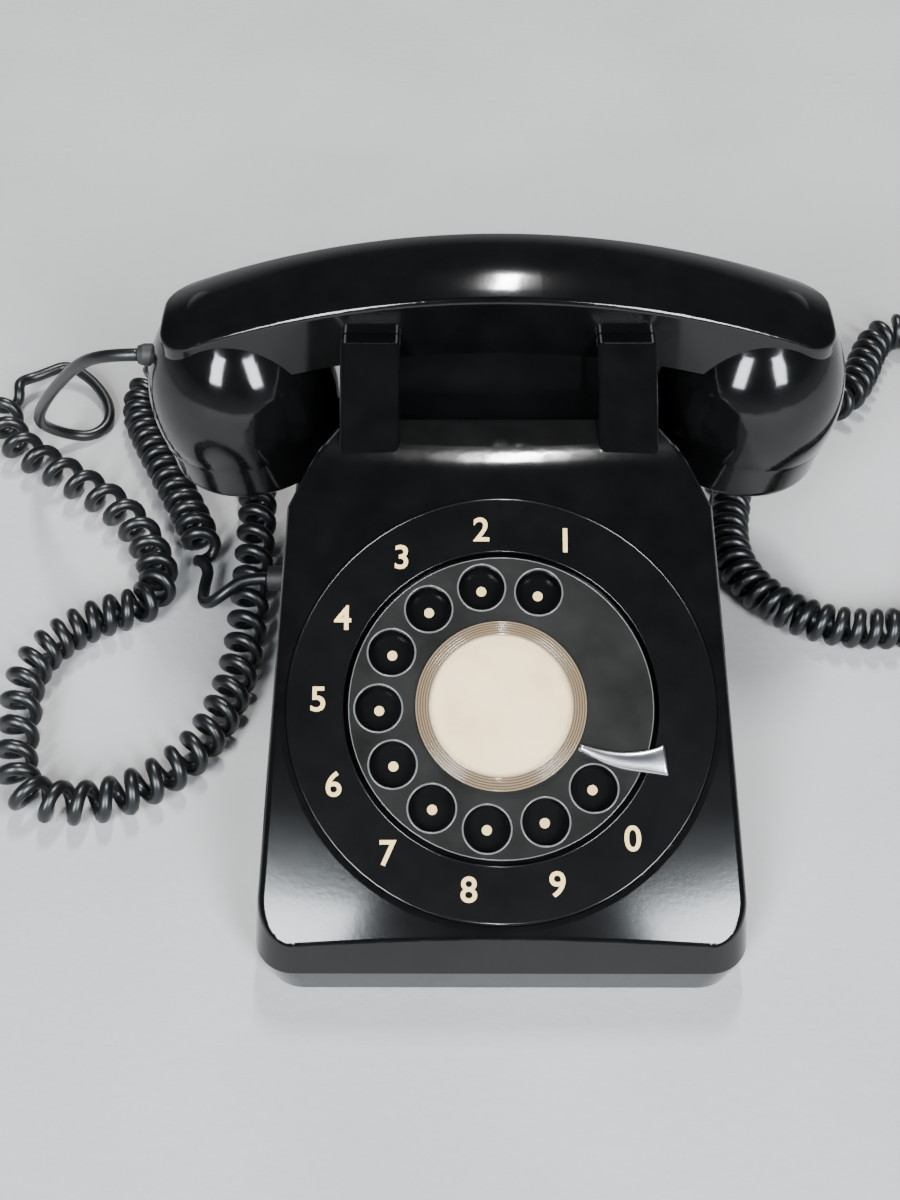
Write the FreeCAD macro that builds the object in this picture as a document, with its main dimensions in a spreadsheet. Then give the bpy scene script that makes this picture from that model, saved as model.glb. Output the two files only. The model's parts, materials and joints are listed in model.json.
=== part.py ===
import FreeCAD, Part
import math
import os
import sys

import Sketcher
from FreeCAD import Placement, Rotation, Vector

sys.path.append(os.path.join(FreeCAD.getHomePath(), "Mod", "PartDesign"))
from fcgear import fcgear, involute

# A rotary desk telephone, in millimetres and degrees.
# The origin is on the table under the middle of the body: X right, Y to the back, Z up.
# The dial has a frame of its own: its z axis stands square on the sloping face.

SIZES = {
    # Moulded body
    "body_width": 146.0,
    "body_length": 220.0,
    "skirt_bottom": 2.0,
    "skirt_inset": 2.0,
    "waist_height": 15.0,
    "deck_height": 95.0,
    "wall_draft": 6.0,
    "front_lean": 18.8,
    "corner_radius": 12.0,
    "wall": 2.6,
    "edge_radius": 2.5,
    "deck_radius": 30.0,
    "fit_gap": 0.3,
    "tower_half_width": 50.5,
    "tower_front": 40.5,
    "shoulder_half_width": 65.2,
    "shoulder_front": 12.0,
    "shelf_height": 46.0,
    "recess_floor": 75.0,
    "boss_radius": 5.0,
    "boss_x": 64.0,
    "boss_front_inset": 30.0,
    "boss_rear_inset": 13.0,
    "boss_height": 16.0,
    "web_thickness": 3.0,
    # Sloping face and dial seat
    "dial_slope": 28.0,
    "dial_y": -46.0,
    "dial_z": 59.8,
    "face_radius": 66.0,
    "face_fall": 4.5,
    "face_reach": 150.0,
    "dial_bore": 58.0,
    "well_radius": 67.0,
    "well_depth": 8.0,
    # Cradle
    "ear_inner": 31.0,
    "ear_outer": 50.0,
    "ear_foot_y": 21.0,
    "ear_foot_z": 91.7,
    "ear_bend_y": 46.5,
    "ear_bend_z": 107.5,
    "ear_top_y": 55.5,
    "ear_top_z": 113.5,
    "rear_ear_top": 118.0,
    "ear_edge": 2.0,
    # Base
    "plate_bottom": 4.0,
    "plate_thickness": 1.6,
    "foot_radius": 8.0,
    "foot_x": 48.0,
    "foot_inset": 30.0,
    "screw_radius": 1.6,
    "screw_head_radius": 3.4,
    "screw_head_height": 1.6,
    "screw_reach": 10.0,
    "volume_wheel_radius": 14.0,
    "volume_wheel_thickness": 2.6,
    "volume_wheel_x": 30.0,
    "volume_wheel_back": 58.0,
    "volume_pin_radius": 2.0,
    # Dial seen from outside
    "ring_radius": 64.0,
    "ring_bore": 47.0,
    "ring_depth": 3.0,
    "ring_proud": 0.6,
    "wheel_radius": 45.5,
    "wheel_thickness": 2.0,
    "wheel_top": 0.4,
    "hole_radius": 6.9,
    "hole_circle": 36.5,
    "first_hole": 71.5,
    "hole_step": 27.4,
    "dot_radius": 1.5,
    "dot_height": 0.2,
    "card_radius": 23.3,
    "card_thickness": 0.3,
    "cover_radius": 25.5,
    "cover_height": 2.4,
    "cover_bevel": 1.2,
    "plate_drop": 5.5,
    "number_plate_thickness": 1.5,
    "stop_inset": 10.0,
    "stop_inner": 26.0,
    "stop_angle": -18.75,
    "stop_half_angle": 3.75,
    "stop_middle_angle": -24.0,
    "stop_middle_half_angle": 2.5,
    "stop_tip_angle": -28.25,
    "stop_tip_half_angle": 1.75,
    "stop_foot_half_angle": 3.25,
    "stop_gap": 0.5,
    "stop_thickness": 1.4,
    # Dial mechanism
    "hub_radius": 8.0,
    "shaft_radius": 3.0,
    "frame_radius": 40.0,
    "frame_drop": 10.5,
    "frame_thickness": 1.5,
    "rear_plate_radius": 34.0,
    "rear_plate_drop": 20.5,
    "post_circle": 30.0,
    "post_radius": 2.0,
    "main_gear_module": 0.8,
    "main_gear_drop": 13.5,
    "main_gear_thickness": 2.0,
    "mesh_room": 0.16,
    "pulse_direction": 150.0,
    "pulse_shaft_radius": 1.5,
    "pulse_cam_radius": 9.0,
    "pulse_cam_lobe": 12.0,
    "first_lobe": 30.0,
    "pulse_cam_drop": 16.2,
    "pulse_cam_thickness": 1.2,
    "governor_gear_module": 0.6,
    "governor_gear_drop": 17.8,
    "governor_gear_thickness": 1.4,
    "governor_direction": -70.0,
    "governor_spindle_radius": 1.2,
    "governor_cup_radius": 11.0,
    "governor_cup_wall": 1.0,
    "governor_cup_height": 11.0,
    "governor_weight_radius": 2.4,
    "governor_weight_circle": 6.4,
    "governor_weight_height": 4.0,
    "leaf_thickness": 0.4,
    "leaf_gap": 1.6,
    "bracket_half_width": 38.0,
    "bracket_thickness": 2.0,
    "bracket_half_reach": 10.0,
    "running_fit": 0.08,
    # Hook switch
    "plunger_x": 41.0,
    "plunger_radius": 3.4,
    "plunger_gap": 0.3,
    "plunger_collar": 4.6,
    "plunger_collar_height": 3.0,
    "lever_pivot_y": 44.0,
    "lever_pivot_z": 51.2,
    "lever_pin_radius": 1.5,
    "lever_arm_width": 3.0,
    "lever_bar_half_depth": 4.0,
    "lever_thickness": 5.0,
    "hook_upright_thickness": 1.8,
    "hook_upright_gap": 0.5,
    "hook_upright_depth": 12.0,
    # Ringer
    "gong_x": 24.5,
    "gong_back": 26.0,
    "gong_radius": 20.0,
    "gong_height": 14.0,
    "gong_wall": 1.4,
    "gong_rim": 14.0,
    "gong_post_radius": 4.0,
    "gong_screw_radius": 2.0,
    "clapper_pivot_back": 50.0,
    "clapper_pin_radius": 1.2,
    "clapper_ball_radius": 3.0,
    "clapper_z": 21.0,
    "coil_back": 62.0,
    "coil_z": 18.0,
    "coil_radius": 8.5,
    "coil_length": 30.0,
    "core_radius": 3.0,
    "yoke_thickness": 2.0,
    "yoke_depth": 11.0,
    "yoke_height": 23.0,
    # Speech circuit
    "network_width": 64.0,
    "network_depth": 37.0,
    "network_height": 21.0,
    "network_front": -4.0,
    "terminal_radius": 2.2,
    "terminal_height": 2.0,
    "terminal_pitch": 13.0,
    # Handset
    "grip_y": 78.0,
    "grip_width": 35.0,
    "grip_top": 129.5,
    "grip_under": 105.5,
    "grip_arch": 276.0,
    "grip_crown": 52.0,
    "under_arch": 250.0,
    "bar_half_length": 110.0,
    "bar_end_radius": 11.0,
    "bar_edge": 2.0,
    "handset_gap": 0.4,
    "cup_x": 86.0,
    "cup_z": 74.0,
    "cup_tilt": 8.0,
    "bowl_radius": 32.2,
    "bowl_height": 40.0,
    "rim_drop": 9.0,
    "rim_radius": 31.6,
    "rim_thickness": 2.4,
    "cup_bore": 27.0,
    "cup_bore_height": 8.0,
    "cap_radius": 30.8,
    "cap_height": 14.0,
    "cap_wall": 2.0,
    "cap_edge_radius": 4.0,
    "sound_hole_radius": 1.4,
    "sound_hole_circle": 9.0,
    "capsule_radius": 25.5,
    "capsule_height": 9.0,
    # Cords
    "wire": 4.4,
    "curl_outside": 15.0,
    "floor_gap": 0.2,
    "grommet_radius": 3.8,
    "grommet_length": 4.0,
    "grommet_z": 90.0,
    "gland_radius": 4.4,
    "gland_length": 7.0,
    "handset_gland_y": 39.0,
    "handset_gland_z": 20.5,
    "line_gland_x": 45.0,
    "line_gland_z": 12.0,
    "plug_width": 26.0,
    "plug_length": 34.0,
    "plug_height": 11.2,
    "plug_neck": 5.0,
    "plug_pin_width": 3.0,
    "plug_pin_length": 12.0,
}

# Tooth and curl counts
MAIN_TEETH = 60
PULSE_TEETH = 12
GOVERNOR_GEAR_TEETH = 40
GOVERNOR_TEETH = 10
FINGER_HOLES = 10
SOUND_HOLES = 6
TERMINALS = 4
CAM_LOBES = 3
HANDSET_CURLS = 67
LINE_CURLS = 31

doc = FreeCAD.newDocument("rotary_telephone")
sheet = doc.addObject("Spreadsheet::Sheet", "sizes")
for row, (alias, number) in enumerate(SIZES.items(), start=1):
    sheet.set("A%d" % row, alias)
    sheet.set("B%d" % row, str(number))
    sheet.setAlias("B%d" % row, alias)
doc.recompute()


class Size:
    """A size: its value now, and the sheet expression that it comes from."""

    def __init__(self, value, text):
        self.value = value
        self.text = text

    def join(self, other, sign, value):
        return Size(value, "(%s %s %s)" % (self.text, sign, other.text))

    def __add__(self, other):
        other = as_size(other)
        return self.join(other, "+", self.value + other.value)

    def __sub__(self, other):
        other = as_size(other)
        return self.join(other, "-", self.value - other.value)

    def __mul__(self, other):
        other = as_size(other)
        return self.join(other, "*", self.value * other.value)

    def __truediv__(self, other):
        other = as_size(other)
        return self.join(other, "/", self.value / other.value)

    def __radd__(self, other):
        return as_size(other) + self

    def __rsub__(self, other):
        return as_size(other) - self

    def __rmul__(self, other):
        return as_size(other) * self

    def __neg__(self):
        return Size(-self.value, "(-%s)" % self.text)


def as_size(thing):
    """A plain number as a size."""
    if isinstance(thing, Size):
        return thing
    return Size(float(thing), "(%s)" % repr(float(thing)))


def sin(angle):
    angle = as_size(angle)
    return Size(math.sin(math.radians(angle.value)), "sin(%s)" % angle.text)


def cos(angle):
    angle = as_size(angle)
    return Size(math.cos(math.radians(angle.value)), "cos(%s)" % angle.text)


def tan(angle):
    angle = as_size(angle)
    return Size(math.tan(math.radians(angle.value)), "tan(%s)" % angle.text)


def root(number):
    number = as_size(number)
    return Size(math.sqrt(number.value), "sqrt(%s)" % number.text)


class Sheet:
    """The sheet's cells, read by their aliases."""

    def __getattr__(self, alias):
        return Size(float(sheet.get(alias)), "sizes." + alias)


S = Sheet()
X_AXIS = Vector(1, 0, 0)
Y_AXIS = Vector(0, 1, 0)
Z_AXIS = Vector(0, 0, 1)


class Frame:
    """A place to build in: an origin, turned about X or Y."""

    def __init__(self, x, y, z, axis, angle):
        self.origin = (as_size(x), as_size(y), as_size(z))
        self.axis = axis
        self.angle = as_size(angle)

    def point(self, x, y, z):
        """The global place of a point given in this frame."""
        c = cos(self.angle)
        s = sin(self.angle)
        if self.axis == X_AXIS:
            turned = (as_size(x), y * c - z * s, y * s + z * c)
        else:
            turned = (x * c + z * s, as_size(y), z * c - x * s)
        return [start + step for start, step in zip(self.origin, turned)]

    def put(self, thing, x=0, y=0, z=0):
        """Stands a thing at a point of this frame, turned with it."""
        thing.Placement = Placement(Vector(), Rotation(self.axis, self.angle.value))
        place = self.point(as_size(x), as_size(y), as_size(z))
        for letter, value in zip("xyz", place):
            thing.setExpression("Placement.Base." + letter, value.text)
        thing.setExpression("Placement.Rotation.Angle", self.angle.text)
        return thing


TABLE = Frame(0, 0, 0, X_AXIS, 0)
DIAL = Frame(0, S.dial_y, S.dial_z, X_AXIS, S.dial_slope)
CUPS = {
    "left": Frame(-S.cup_x, S.grip_y, S.cup_z, Y_AXIS, -S.cup_tilt),
    "right": Frame(S.cup_x, S.grip_y, S.cup_z, Y_AXIS, S.cup_tilt),
}
SIDES = {"left": -1, "right": 1}
nodes = []


def bind(thing, **sizes):
    for name, value in sizes.items():
        thing.setExpression(name, as_size(value).text)
    return thing


def node(thing, name):
    """Marks a finished sub-part, whose label names its file."""
    thing.Label = name
    nodes.append(thing)
    return thing


def box(name, x, y, z, frame=TABLE):
    """A block between the low and high values of x, y and z."""
    block = doc.addObject("Part::Box", name)
    bind(block, Length=x[1] - as_size(x[0]), Width=y[1] - as_size(y[0]), Height=z[1] - as_size(z[0]))
    return frame.put(block, x[0], y[0], z[0])


def rod(name, radius, low, high, x=0, y=0, frame=TABLE):
    """A cylinder standing along z."""
    round_bar = doc.addObject("Part::Cylinder", name)
    bind(round_bar, Radius=radius, Height=high - as_size(low))
    return frame.put(round_bar, x, y, low)


def cross_rod(name, radius, low, high, y, z):
    """A cylinder lying along x."""
    round_bar = doc.addObject("Part::Cylinder", name)
    bind(round_bar, Radius=radius, Height=high - as_size(low))
    return Frame(low, y, z, Y_AXIS, 90).put(round_bar)


def deep_rod(name, radius, low, high, x, z):
    """A cylinder lying along y."""
    round_bar = doc.addObject("Part::Cylinder", name)
    bind(round_bar, Radius=radius, Height=high - as_size(low))
    return Frame(x, low, z, X_AXIS, -90).put(round_bar)


def cut(name, base, *tools):
    """The base less each tool in turn."""
    for count, tool in enumerate(tools, start=1):
        last = count == len(tools)
        result = doc.addObject("Part::Cut", name if last else "%s_cut_%d" % (name, count))
        result.Base = base
        result.Tool = tool
        result.Refine = True
        base = result
    return base


def fuse(name, *shapes):
    joined = doc.addObject("Part::MultiFuse", name)
    joined.Shapes = list(shapes)
    joined.Refine = True
    return joined


def common(name, first, second):
    shared = doc.addObject("Part::Common", name)
    shared.Base = first
    shared.Tool = second
    shared.Refine = True
    return shared


def takes_fillet(shape, edges, radius):
    try:
        return shape.makeFillet(radius, edges).isValid()
    except Part.OCCError:
        return False


def rounded(name, base, radius, chosen):
    """The base with the edges that pass the test rounded, by less where they don't take the radius."""
    doc.recompute()
    edges = [edge for edge in base.Shape.Edges if chosen(edge)]
    shares = (1.0, 0.8, 0.6, 0.4, 0.2)
    for value in (share * radius.value for share in shares):
        if edges and takes_fillet(base.Shape, edges, value):
            result = doc.addObject("Part::Fillet", name)
            result.Base = base
            numbered = enumerate(base.Shape.Edges, start=1)
            result.Edges = [(i, value, value) for i, edge in numbered if chosen(edge)]
            return result
    return base


def pin_point(sketch, shape, end, corner, tag):
    """Holds a sketch point at a corner's sizes."""
    for kind, letter, value in (("DistanceX", "x", corner[0]), ("DistanceY", "y", corner[1])):
        value = as_size(value)
        index = sketch.addConstraint(Sketcher.Constraint(kind, -1, 1, shape, end, value.value))
        name = "%s_%d" % (letter, tag)
        sketch.renameConstraint(index, name)
        sketch.setExpression("Constraints." + name, value.text)


def outline(name, corners):
    """A closed sketch through corners (x, y), or (x, y, radius) where one is rounded."""
    sketch = doc.addObject("Sketcher::SketchObject", name)
    count = len(corners)
    points = [Vector(as_size(c[0]).value, as_size(c[1]).value, 0) for c in corners]
    arrive = []
    leave = []
    middles = []
    for i, here in enumerate(points):
        back = (points[i - 1] - here).normalize()
        ahead = (points[(i + 1) % count] - here).normalize()
        half = back.getAngle(ahead) / 2
        radius = as_size(corners[i][2]).value if len(corners[i]) == 3 else 0.0
        arrive.append(here + back * (radius / math.tan(half)))
        leave.append(here + ahead * (radius / math.tan(half)))
        middles.append(here + (back + ahead).normalize() * (radius / math.sin(half)))
    sides = []
    for i in range(count):
        sides.append(sketch.addGeometry(Part.LineSegment(leave[i], arrive[(i + 1) % count])))
    for i, corner in enumerate(corners):
        before = sides[i - 1]
        after = sides[i]
        if len(corner) == 2:
            sketch.addConstraint(Sketcher.Constraint("Coincident", before, 2, after, 1))
            pin_point(sketch, after, 1, corner, i)
            continue
        radius = as_size(corner[2])
        turn = (points[i] - points[i - 1]).cross(points[(i + 1) % count] - points[i]).z
        first, last = (arrive[i], leave[i]) if turn > 0 else (leave[i], arrive[i])
        angles = [math.atan2((p - middles[i]).y, (p - middles[i]).x) for p in (first, last)]
        circle = Part.Circle(middles[i], Z_AXIS, radius.value)
        arc = sketch.addGeometry(Part.ArcOfCircle(circle, *angles))
        start, end = (1, 2) if turn > 0 else (2, 1)
        sketch.addConstraint(Sketcher.Constraint("Tangent", before, 2, arc, start))
        sketch.addConstraint(Sketcher.Constraint("Tangent", arc, end, after, 1))
        index = sketch.addConstraint(Sketcher.Constraint("Radius", arc, radius.value))
        sketch.renameConstraint(index, "radius_%d" % i)
        sketch.setExpression("Constraints.radius_%d" % i, radius.text)
        mark = sketch.addGeometry(Part.Point(points[i]), True)
        sketch.addConstraint(Sketcher.Constraint("PointOnObject", mark, 1, before))
        sketch.addConstraint(Sketcher.Constraint("PointOnObject", mark, 1, after))
        pin_point(sketch, mark, 1, corner, i)
    return sketch


def extruded(name, sketch, height, frame=TABLE, x=0, y=0, z=0):
    """A sketch in a frame's xy plane, raised along its z."""
    frame.put(sketch, x, y, z)
    solid = doc.addObject("Part::Extrusion", name)
    solid.Base = sketch
    solid.DirMode = "Normal"
    solid.Solid = True
    bind(solid, LengthFwd=height)
    return solid


def side_profile(name, corners, low, high):
    """A sketch of (y, z) corners, drawn out along x from low to high."""
    sketch = outline(name + "_outline", corners)
    sketch.Placement = Placement(Vector(), Rotation(Vector(1, 1, 1), 120))
    sketch.setExpression("Placement.Base.x", as_size(low).text)
    solid = doc.addObject("Part::Extrusion", name)
    solid.Base = sketch
    solid.DirMode = "Normal"
    solid.Solid = True
    bind(solid, LengthFwd=high - as_size(low))
    return solid


def turned(name, corners, frame=TABLE, x=0, y=0, z=0):
    """A sketch of (radius, z) corners, turned about the z axis of a frame."""
    sketch = outline(name + "_outline", corners)
    sketch.Placement = Placement(Vector(), Rotation(X_AXIS, 90))
    solid = doc.addObject("Part::Revolution", name)
    solid.Source = sketch
    solid.Axis = Z_AXIS
    solid.Base = Vector()
    solid.Angle = 360
    solid.Solid = True
    return frame.put(solid, x, y, z)


def rectangle(half_x, half_y, radius):
    """The corners of a rounded rectangle about the origin."""
    front = [(-half_x, -half_y, radius), (half_x, -half_y, radius)]
    back = [(half_x, half_y, radius), (-half_x, half_y, radius)]
    return front + back


def polar(radius, angle):
    return radius * cos(angle), radius * sin(angle)


def asin(ratio):
    ratio = as_size(ratio)
    return Size(math.degrees(math.asin(ratio.value)), "asin(%s)" % ratio.text)


def group(name, *things):
    """Several like solids in one sub-part."""
    bundle = doc.addObject("Part::Compound", name)
    bundle.Links = list(things)
    return bundle


def under_grip(x):
    """The height of the handset's underside over the cradle at x."""
    return S.grip_under - S.under_arch + root(S.under_arch * S.under_arch - x * x)


PLATE_TOP = S.plate_bottom + S.plate_thickness
GRIP_FRONT = S.grip_y - S.grip_width / 2
GRIP_REAR = S.grip_y + S.grip_width / 2
FAR = S.body_length
BACK = S.body_length / 2
BOSS_FRONT_Y = BACK - S.boss_front_inset
BOSS_REAR_Y = BACK - S.boss_rear_inset
FOOT_Y = BACK - S.foot_inset
GONG_Y = BACK - S.gong_back
CLAPPER_Y = BACK - S.clapper_pivot_back
COIL_Y = BACK - S.coil_back
VOLUME_WHEEL_Y = BACK - S.volume_wheel_back
STOP_OUTER = S.ring_radius - S.stop_inset


# Moulded body


def body_form(name, inset, bottom):
    """Drafted walls under the sloping face: the outside, or with an inset the inside."""
    top = S.deck_height - inset
    rise = top - S.waist_height
    levels = [
        (bottom, S.skirt_inset, S.skirt_inset),
        (S.waist_height, as_size(0), as_size(0)),
        (top, rise * tan(S.wall_draft), rise * tan(S.front_lean)),
    ]
    sections = []
    for count, (height, draft, lean) in enumerate(levels):
        half_x = S.body_width / 2 - inset - draft
        half_y = S.body_length / 2 - inset - (draft + lean) / 2
        section = outline("%s_level_%d" % (name, count), rectangle(half_x, half_y, S.corner_radius - inset))
        sections.append(TABLE.put(section, y=(lean - draft) / 2, z=height))
    walls = doc.addObject("Part::Loft", name + "_walls")
    walls.Sections = sections
    walls.Solid = True
    walls.Ruled = True
    face = doc.addObject("Part::Cone", name + "_face")
    spread = S.face_radius + S.face_reach / tan(S.face_fall)
    bind(face, Radius1=spread, Radius2=S.face_radius, Height=S.face_reach)
    DIAL.put(face, z=-S.face_reach - inset)
    form = common(name + "_sloped", walls, face)
    tools = []
    for side, sign in SIDES.items():
        near = S.tower_half_width - inset
        reach = S.body_width - near
        slope = (S.tower_front - S.shoulder_front) / (S.shoulder_half_width - S.tower_half_width)
        corners = [
            (sign * near, S.tower_front - inset),
            (sign * near, FAR),
            (sign * S.body_width, FAR),
            (sign * S.body_width, S.tower_front - inset - slope * reach),
        ]
        plan = outline("%s_shoulder_%s_outline" % (name, side), corners)
        tools.append(extruded("%s_shoulder_%s" % (name, side), plan, FAR, z=S.shelf_height - inset))
    return cut(name, form, *tools)


def back_wall(height):
    """How far back the drafted rear wall stands at a height."""
    return S.body_length / 2 - (height - S.waist_height) * tan(S.wall_draft)


def is_sharp_edge(base):
    """A test for the edges above the rim where two faces meet at an angle."""
    least_angle = math.radians(30)
    rim = S.skirt_bottom.value + 0.5

    def test(edge):
        middle = edge.valueAt((edge.FirstParameter + edge.LastParameter) / 2)
        if middle.z < rim:
            return False
        normals = []
        for face in base.Shape.ancestorsOfType(edge, Part.Face):
            u, v = face.Surface.parameter(middle)
            normals.append(face.normalAt(u, v))
        return len(normals) == 2 and normals[0].getAngle(normals[1]) > least_angle

    return test


def is_brow(edge):
    """Where the sloping face runs into the deck."""
    middle = edge.valueAt((edge.FirstParameter + edge.LastParameter) / 2)
    level = abs(middle.z - S.deck_height.value) < 0.01
    return level and abs(middle.x) < S.ear_inner.value and middle.y < S.tower_front.value


def is_ear_edge(edge):
    """The edges of an ear above the deck, but for those beside the handset."""
    middle = edge.valueAt((edge.FirstParameter + edge.LastParameter) / 2)
    beside = abs(middle.y - S.grip_y.value) < S.grip_width.value / 2 + 2 * S.handset_gap.value
    return middle.z > S.deck_height.value and not beside


def make_housing():
    plain = body_form("outside", as_size(0), S.skirt_bottom)
    sharp = rounded("outside_brow", plain, S.deck_radius, is_brow)
    outside = rounded("outside_rounded", sharp, S.edge_radius, is_sharp_edge(sharp))
    inside = body_form("inside", S.wall, S.skirt_bottom - S.wall)
    keep = box(
        "recess_walls",
        (-S.ear_inner - S.wall, S.ear_inner + S.wall),
        (S.tower_front - S.wall, FAR),
        (S.recess_floor - S.wall, FAR),
    )
    shell = cut("shell", outside, cut("hollow", inside, keep))
    pieces = [shell]
    well = rod("dial_well_blank", S.well_radius, -S.well_depth, 0, frame=DIAL)
    pieces.append(common("dial_well", well, outside))
    holes = []
    for side, sign in SIDES.items():
        low, high = sorted((sign * S.ear_inner, sign * S.ear_outer), key=lambda edge: edge.value)
        ear_low = S.deck_height - 2 * S.wall
        front_ear = [
            (S.ear_foot_y, S.ear_foot_z),
            (S.ear_bend_y, S.ear_bend_z),
            (S.ear_top_y, S.ear_top_z),
            (GRIP_FRONT - S.handset_gap, S.ear_top_z),
            (GRIP_FRONT - S.handset_gap, ear_low),
            (S.ear_foot_y, ear_low - S.wall),
        ]
        ear = side_profile("front_ear_" + side, front_ear, low, high)
        pieces.append(rounded("front_ear_%s_rounded" % side, ear, S.ear_edge, is_ear_edge))
        rear_y = GRIP_REAR + S.handset_gap
        rear_ear = [
            (rear_y, ear_low),
            (back_wall(ear_low), ear_low),
            (back_wall(S.rear_ear_top), S.rear_ear_top),
            (rear_y, S.rear_ear_top),
        ]
        ear = side_profile("rear_ear_" + side, rear_ear, low, high)
        pieces.append(rounded("rear_ear_%s_rounded" % side, ear, S.ear_edge, is_ear_edge))
        span = (GRIP_FRONT - 1, GRIP_REAR + 1)
        block = box("saddle_block_" + side, (low, high), span, (ear_low, S.grip_under))
        arch = deep_rod(
            "saddle_arch_" + side, S.under_arch - S.handset_gap, 0, FAR, 0, S.grip_under - S.under_arch
        )
        pieces.append(common("saddle_" + side, block, arch))
        holes.append(
            rod(
                "plunger_bore_" + side,
                S.plunger_radius + S.fit_gap / 2,
                S.recess_floor,
                S.rear_ear_top,
                sign * S.plunger_x,
                S.grip_y,
            )
        )
        for end, y in (("front", -BOSS_FRONT_Y), ("rear", BOSS_REAR_Y)):
            tag = "%s_%s" % (end, side)
            x = sign * S.boss_x
            top = PLATE_TOP + S.boss_height
            pieces.append(rod("boss_" + tag, S.boss_radius, PLATE_TOP, top, x, y))
            reach = sign * (S.body_width / 2 - S.skirt_inset)
            web_x = sorted((x, reach), key=lambda edge: edge.value)
            half = S.web_thickness / 2
            pieces.append(box("boss_web_" + tag, web_x, (y - half, y + half), (PLATE_TOP + 1, top)))
            holes.append(rod("boss_bore_" + tag, S.screw_radius, 0, PLATE_TOP + S.screw_reach, x, y))
    holes.append(
        box("hand_recess", (-S.ear_inner, S.ear_inner), (S.tower_front, FAR), (S.recess_floor, FAR))
    )
    holes.append(rod("ring_seat", S.ring_radius + S.fit_gap, -S.ring_depth, S.well_depth, frame=DIAL))
    holes.append(rod("dial_opening", S.dial_bore, -2 * S.well_depth, S.well_depth, frame=DIAL))
    gland_place = (S.handset_gland_y, S.handset_gland_z)
    holes.append(cross_rod("handset_gland_hole", S.gland_radius, -S.body_width, 0, *gland_place))
    holes.append(deep_rod("line_gland_hole", S.gland_radius, GONG_Y, FAR, S.line_gland_x, S.line_gland_z))
    node(cut("housing", fuse("housing_blank", *pieces), *holes), "housing")


make_housing()


# Base


def make_base():
    half_x = S.body_width / 2 - S.skirt_inset - S.wall - S.fit_gap
    half_y = S.body_length / 2 - S.skirt_inset - S.wall - S.fit_gap
    radius = S.corner_radius - S.wall - S.skirt_inset
    blank = extruded(
        "base_blank",
        outline("base_outline", rectangle(half_x, half_y, radius)),
        S.plate_thickness,
        z=S.plate_bottom,
    )
    ends = ((-BOSS_FRONT_Y, -FOOT_Y), (BOSS_REAR_Y, FOOT_Y))
    corners = [(x, y, foot_y) for x in (-1, 1) for y, foot_y in ends]
    holes = []
    screws = []
    feet = []
    for count, (x, y, foot_y) in enumerate(corners):
        place = (x * S.boss_x, y)
        holes.append(
            rod("base_hole_%d" % count, S.screw_radius + S.running_fit, 0, PLATE_TOP + 1, *place)
        )
        head = rod(
            "screw_head_%d" % count,
            S.screw_head_radius,
            S.plate_bottom - S.screw_head_height,
            S.plate_bottom,
            *place,
        )
        shank = rod(
            "screw_shank_%d" % count, S.screw_radius, S.plate_bottom, PLATE_TOP + S.screw_reach, *place
        )
        screws.append(fuse("screw_%d" % count, head, shank))
        feet.append(rod("foot_%d" % count, S.foot_radius, 0, S.plate_bottom, x * S.foot_x, foot_y))
    spot = (S.volume_wheel_x, VOLUME_WHEEL_Y)
    holes.append(rod("volume_hole", S.volume_pin_radius + S.running_fit, 0, PLATE_TOP + 1, *spot))
    node(cut("base_plate", blank, *holes), "base_plate")
    node(group("housing_screws", *screws), "housing_screws")
    node(group("rubber_feet", *feet), "rubber_feet")
    top = S.plate_bottom - S.fit_gap
    disc = rod("volume_disc", S.volume_wheel_radius, top - S.volume_wheel_thickness, top, *spot)
    pin = rod("volume_pin", S.volume_pin_radius, top - S.volume_wheel_thickness, PLATE_TOP + 2, *spot)
    node(fuse("volume_wheel", disc, pin), "volume_wheel")


make_base()


# Dial seen from outside


def make_dial_face():
    ring = rod("ring_blank", S.ring_radius, -S.ring_depth, S.ring_proud, frame=DIAL)
    bore = rod("ring_hole", S.ring_bore, -S.well_depth, S.well_depth, frame=DIAL)
    node(cut("number_ring", ring, bore), "number_ring")
    low = -S.plate_drop - S.number_plate_thickness
    hole = S.shaft_radius + S.fit_gap
    rim = S.ring_bore + S.fit_gap
    edge = S.dial_bore - S.fit_gap
    dish = [
        (hole, low),
        (edge, low),
        (edge, -S.ring_depth),
        (rim, -S.ring_depth),
        (rim, -S.plate_drop),
        (hole, -S.plate_drop),
    ]
    node(turned("number_plate", dish, DIAL), "number_plate")
    dots = []
    for count in range(FINGER_HOLES):
        x, y = polar(S.hole_circle, S.first_hole + count * S.hole_step)
        high = S.dot_height - S.plate_drop
        dots.append(rod("dot_%d" % count, S.dot_radius, -S.plate_drop, high, x, y, DIAL))
    node(group("target_dots", *dots), "target_dots")


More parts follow.
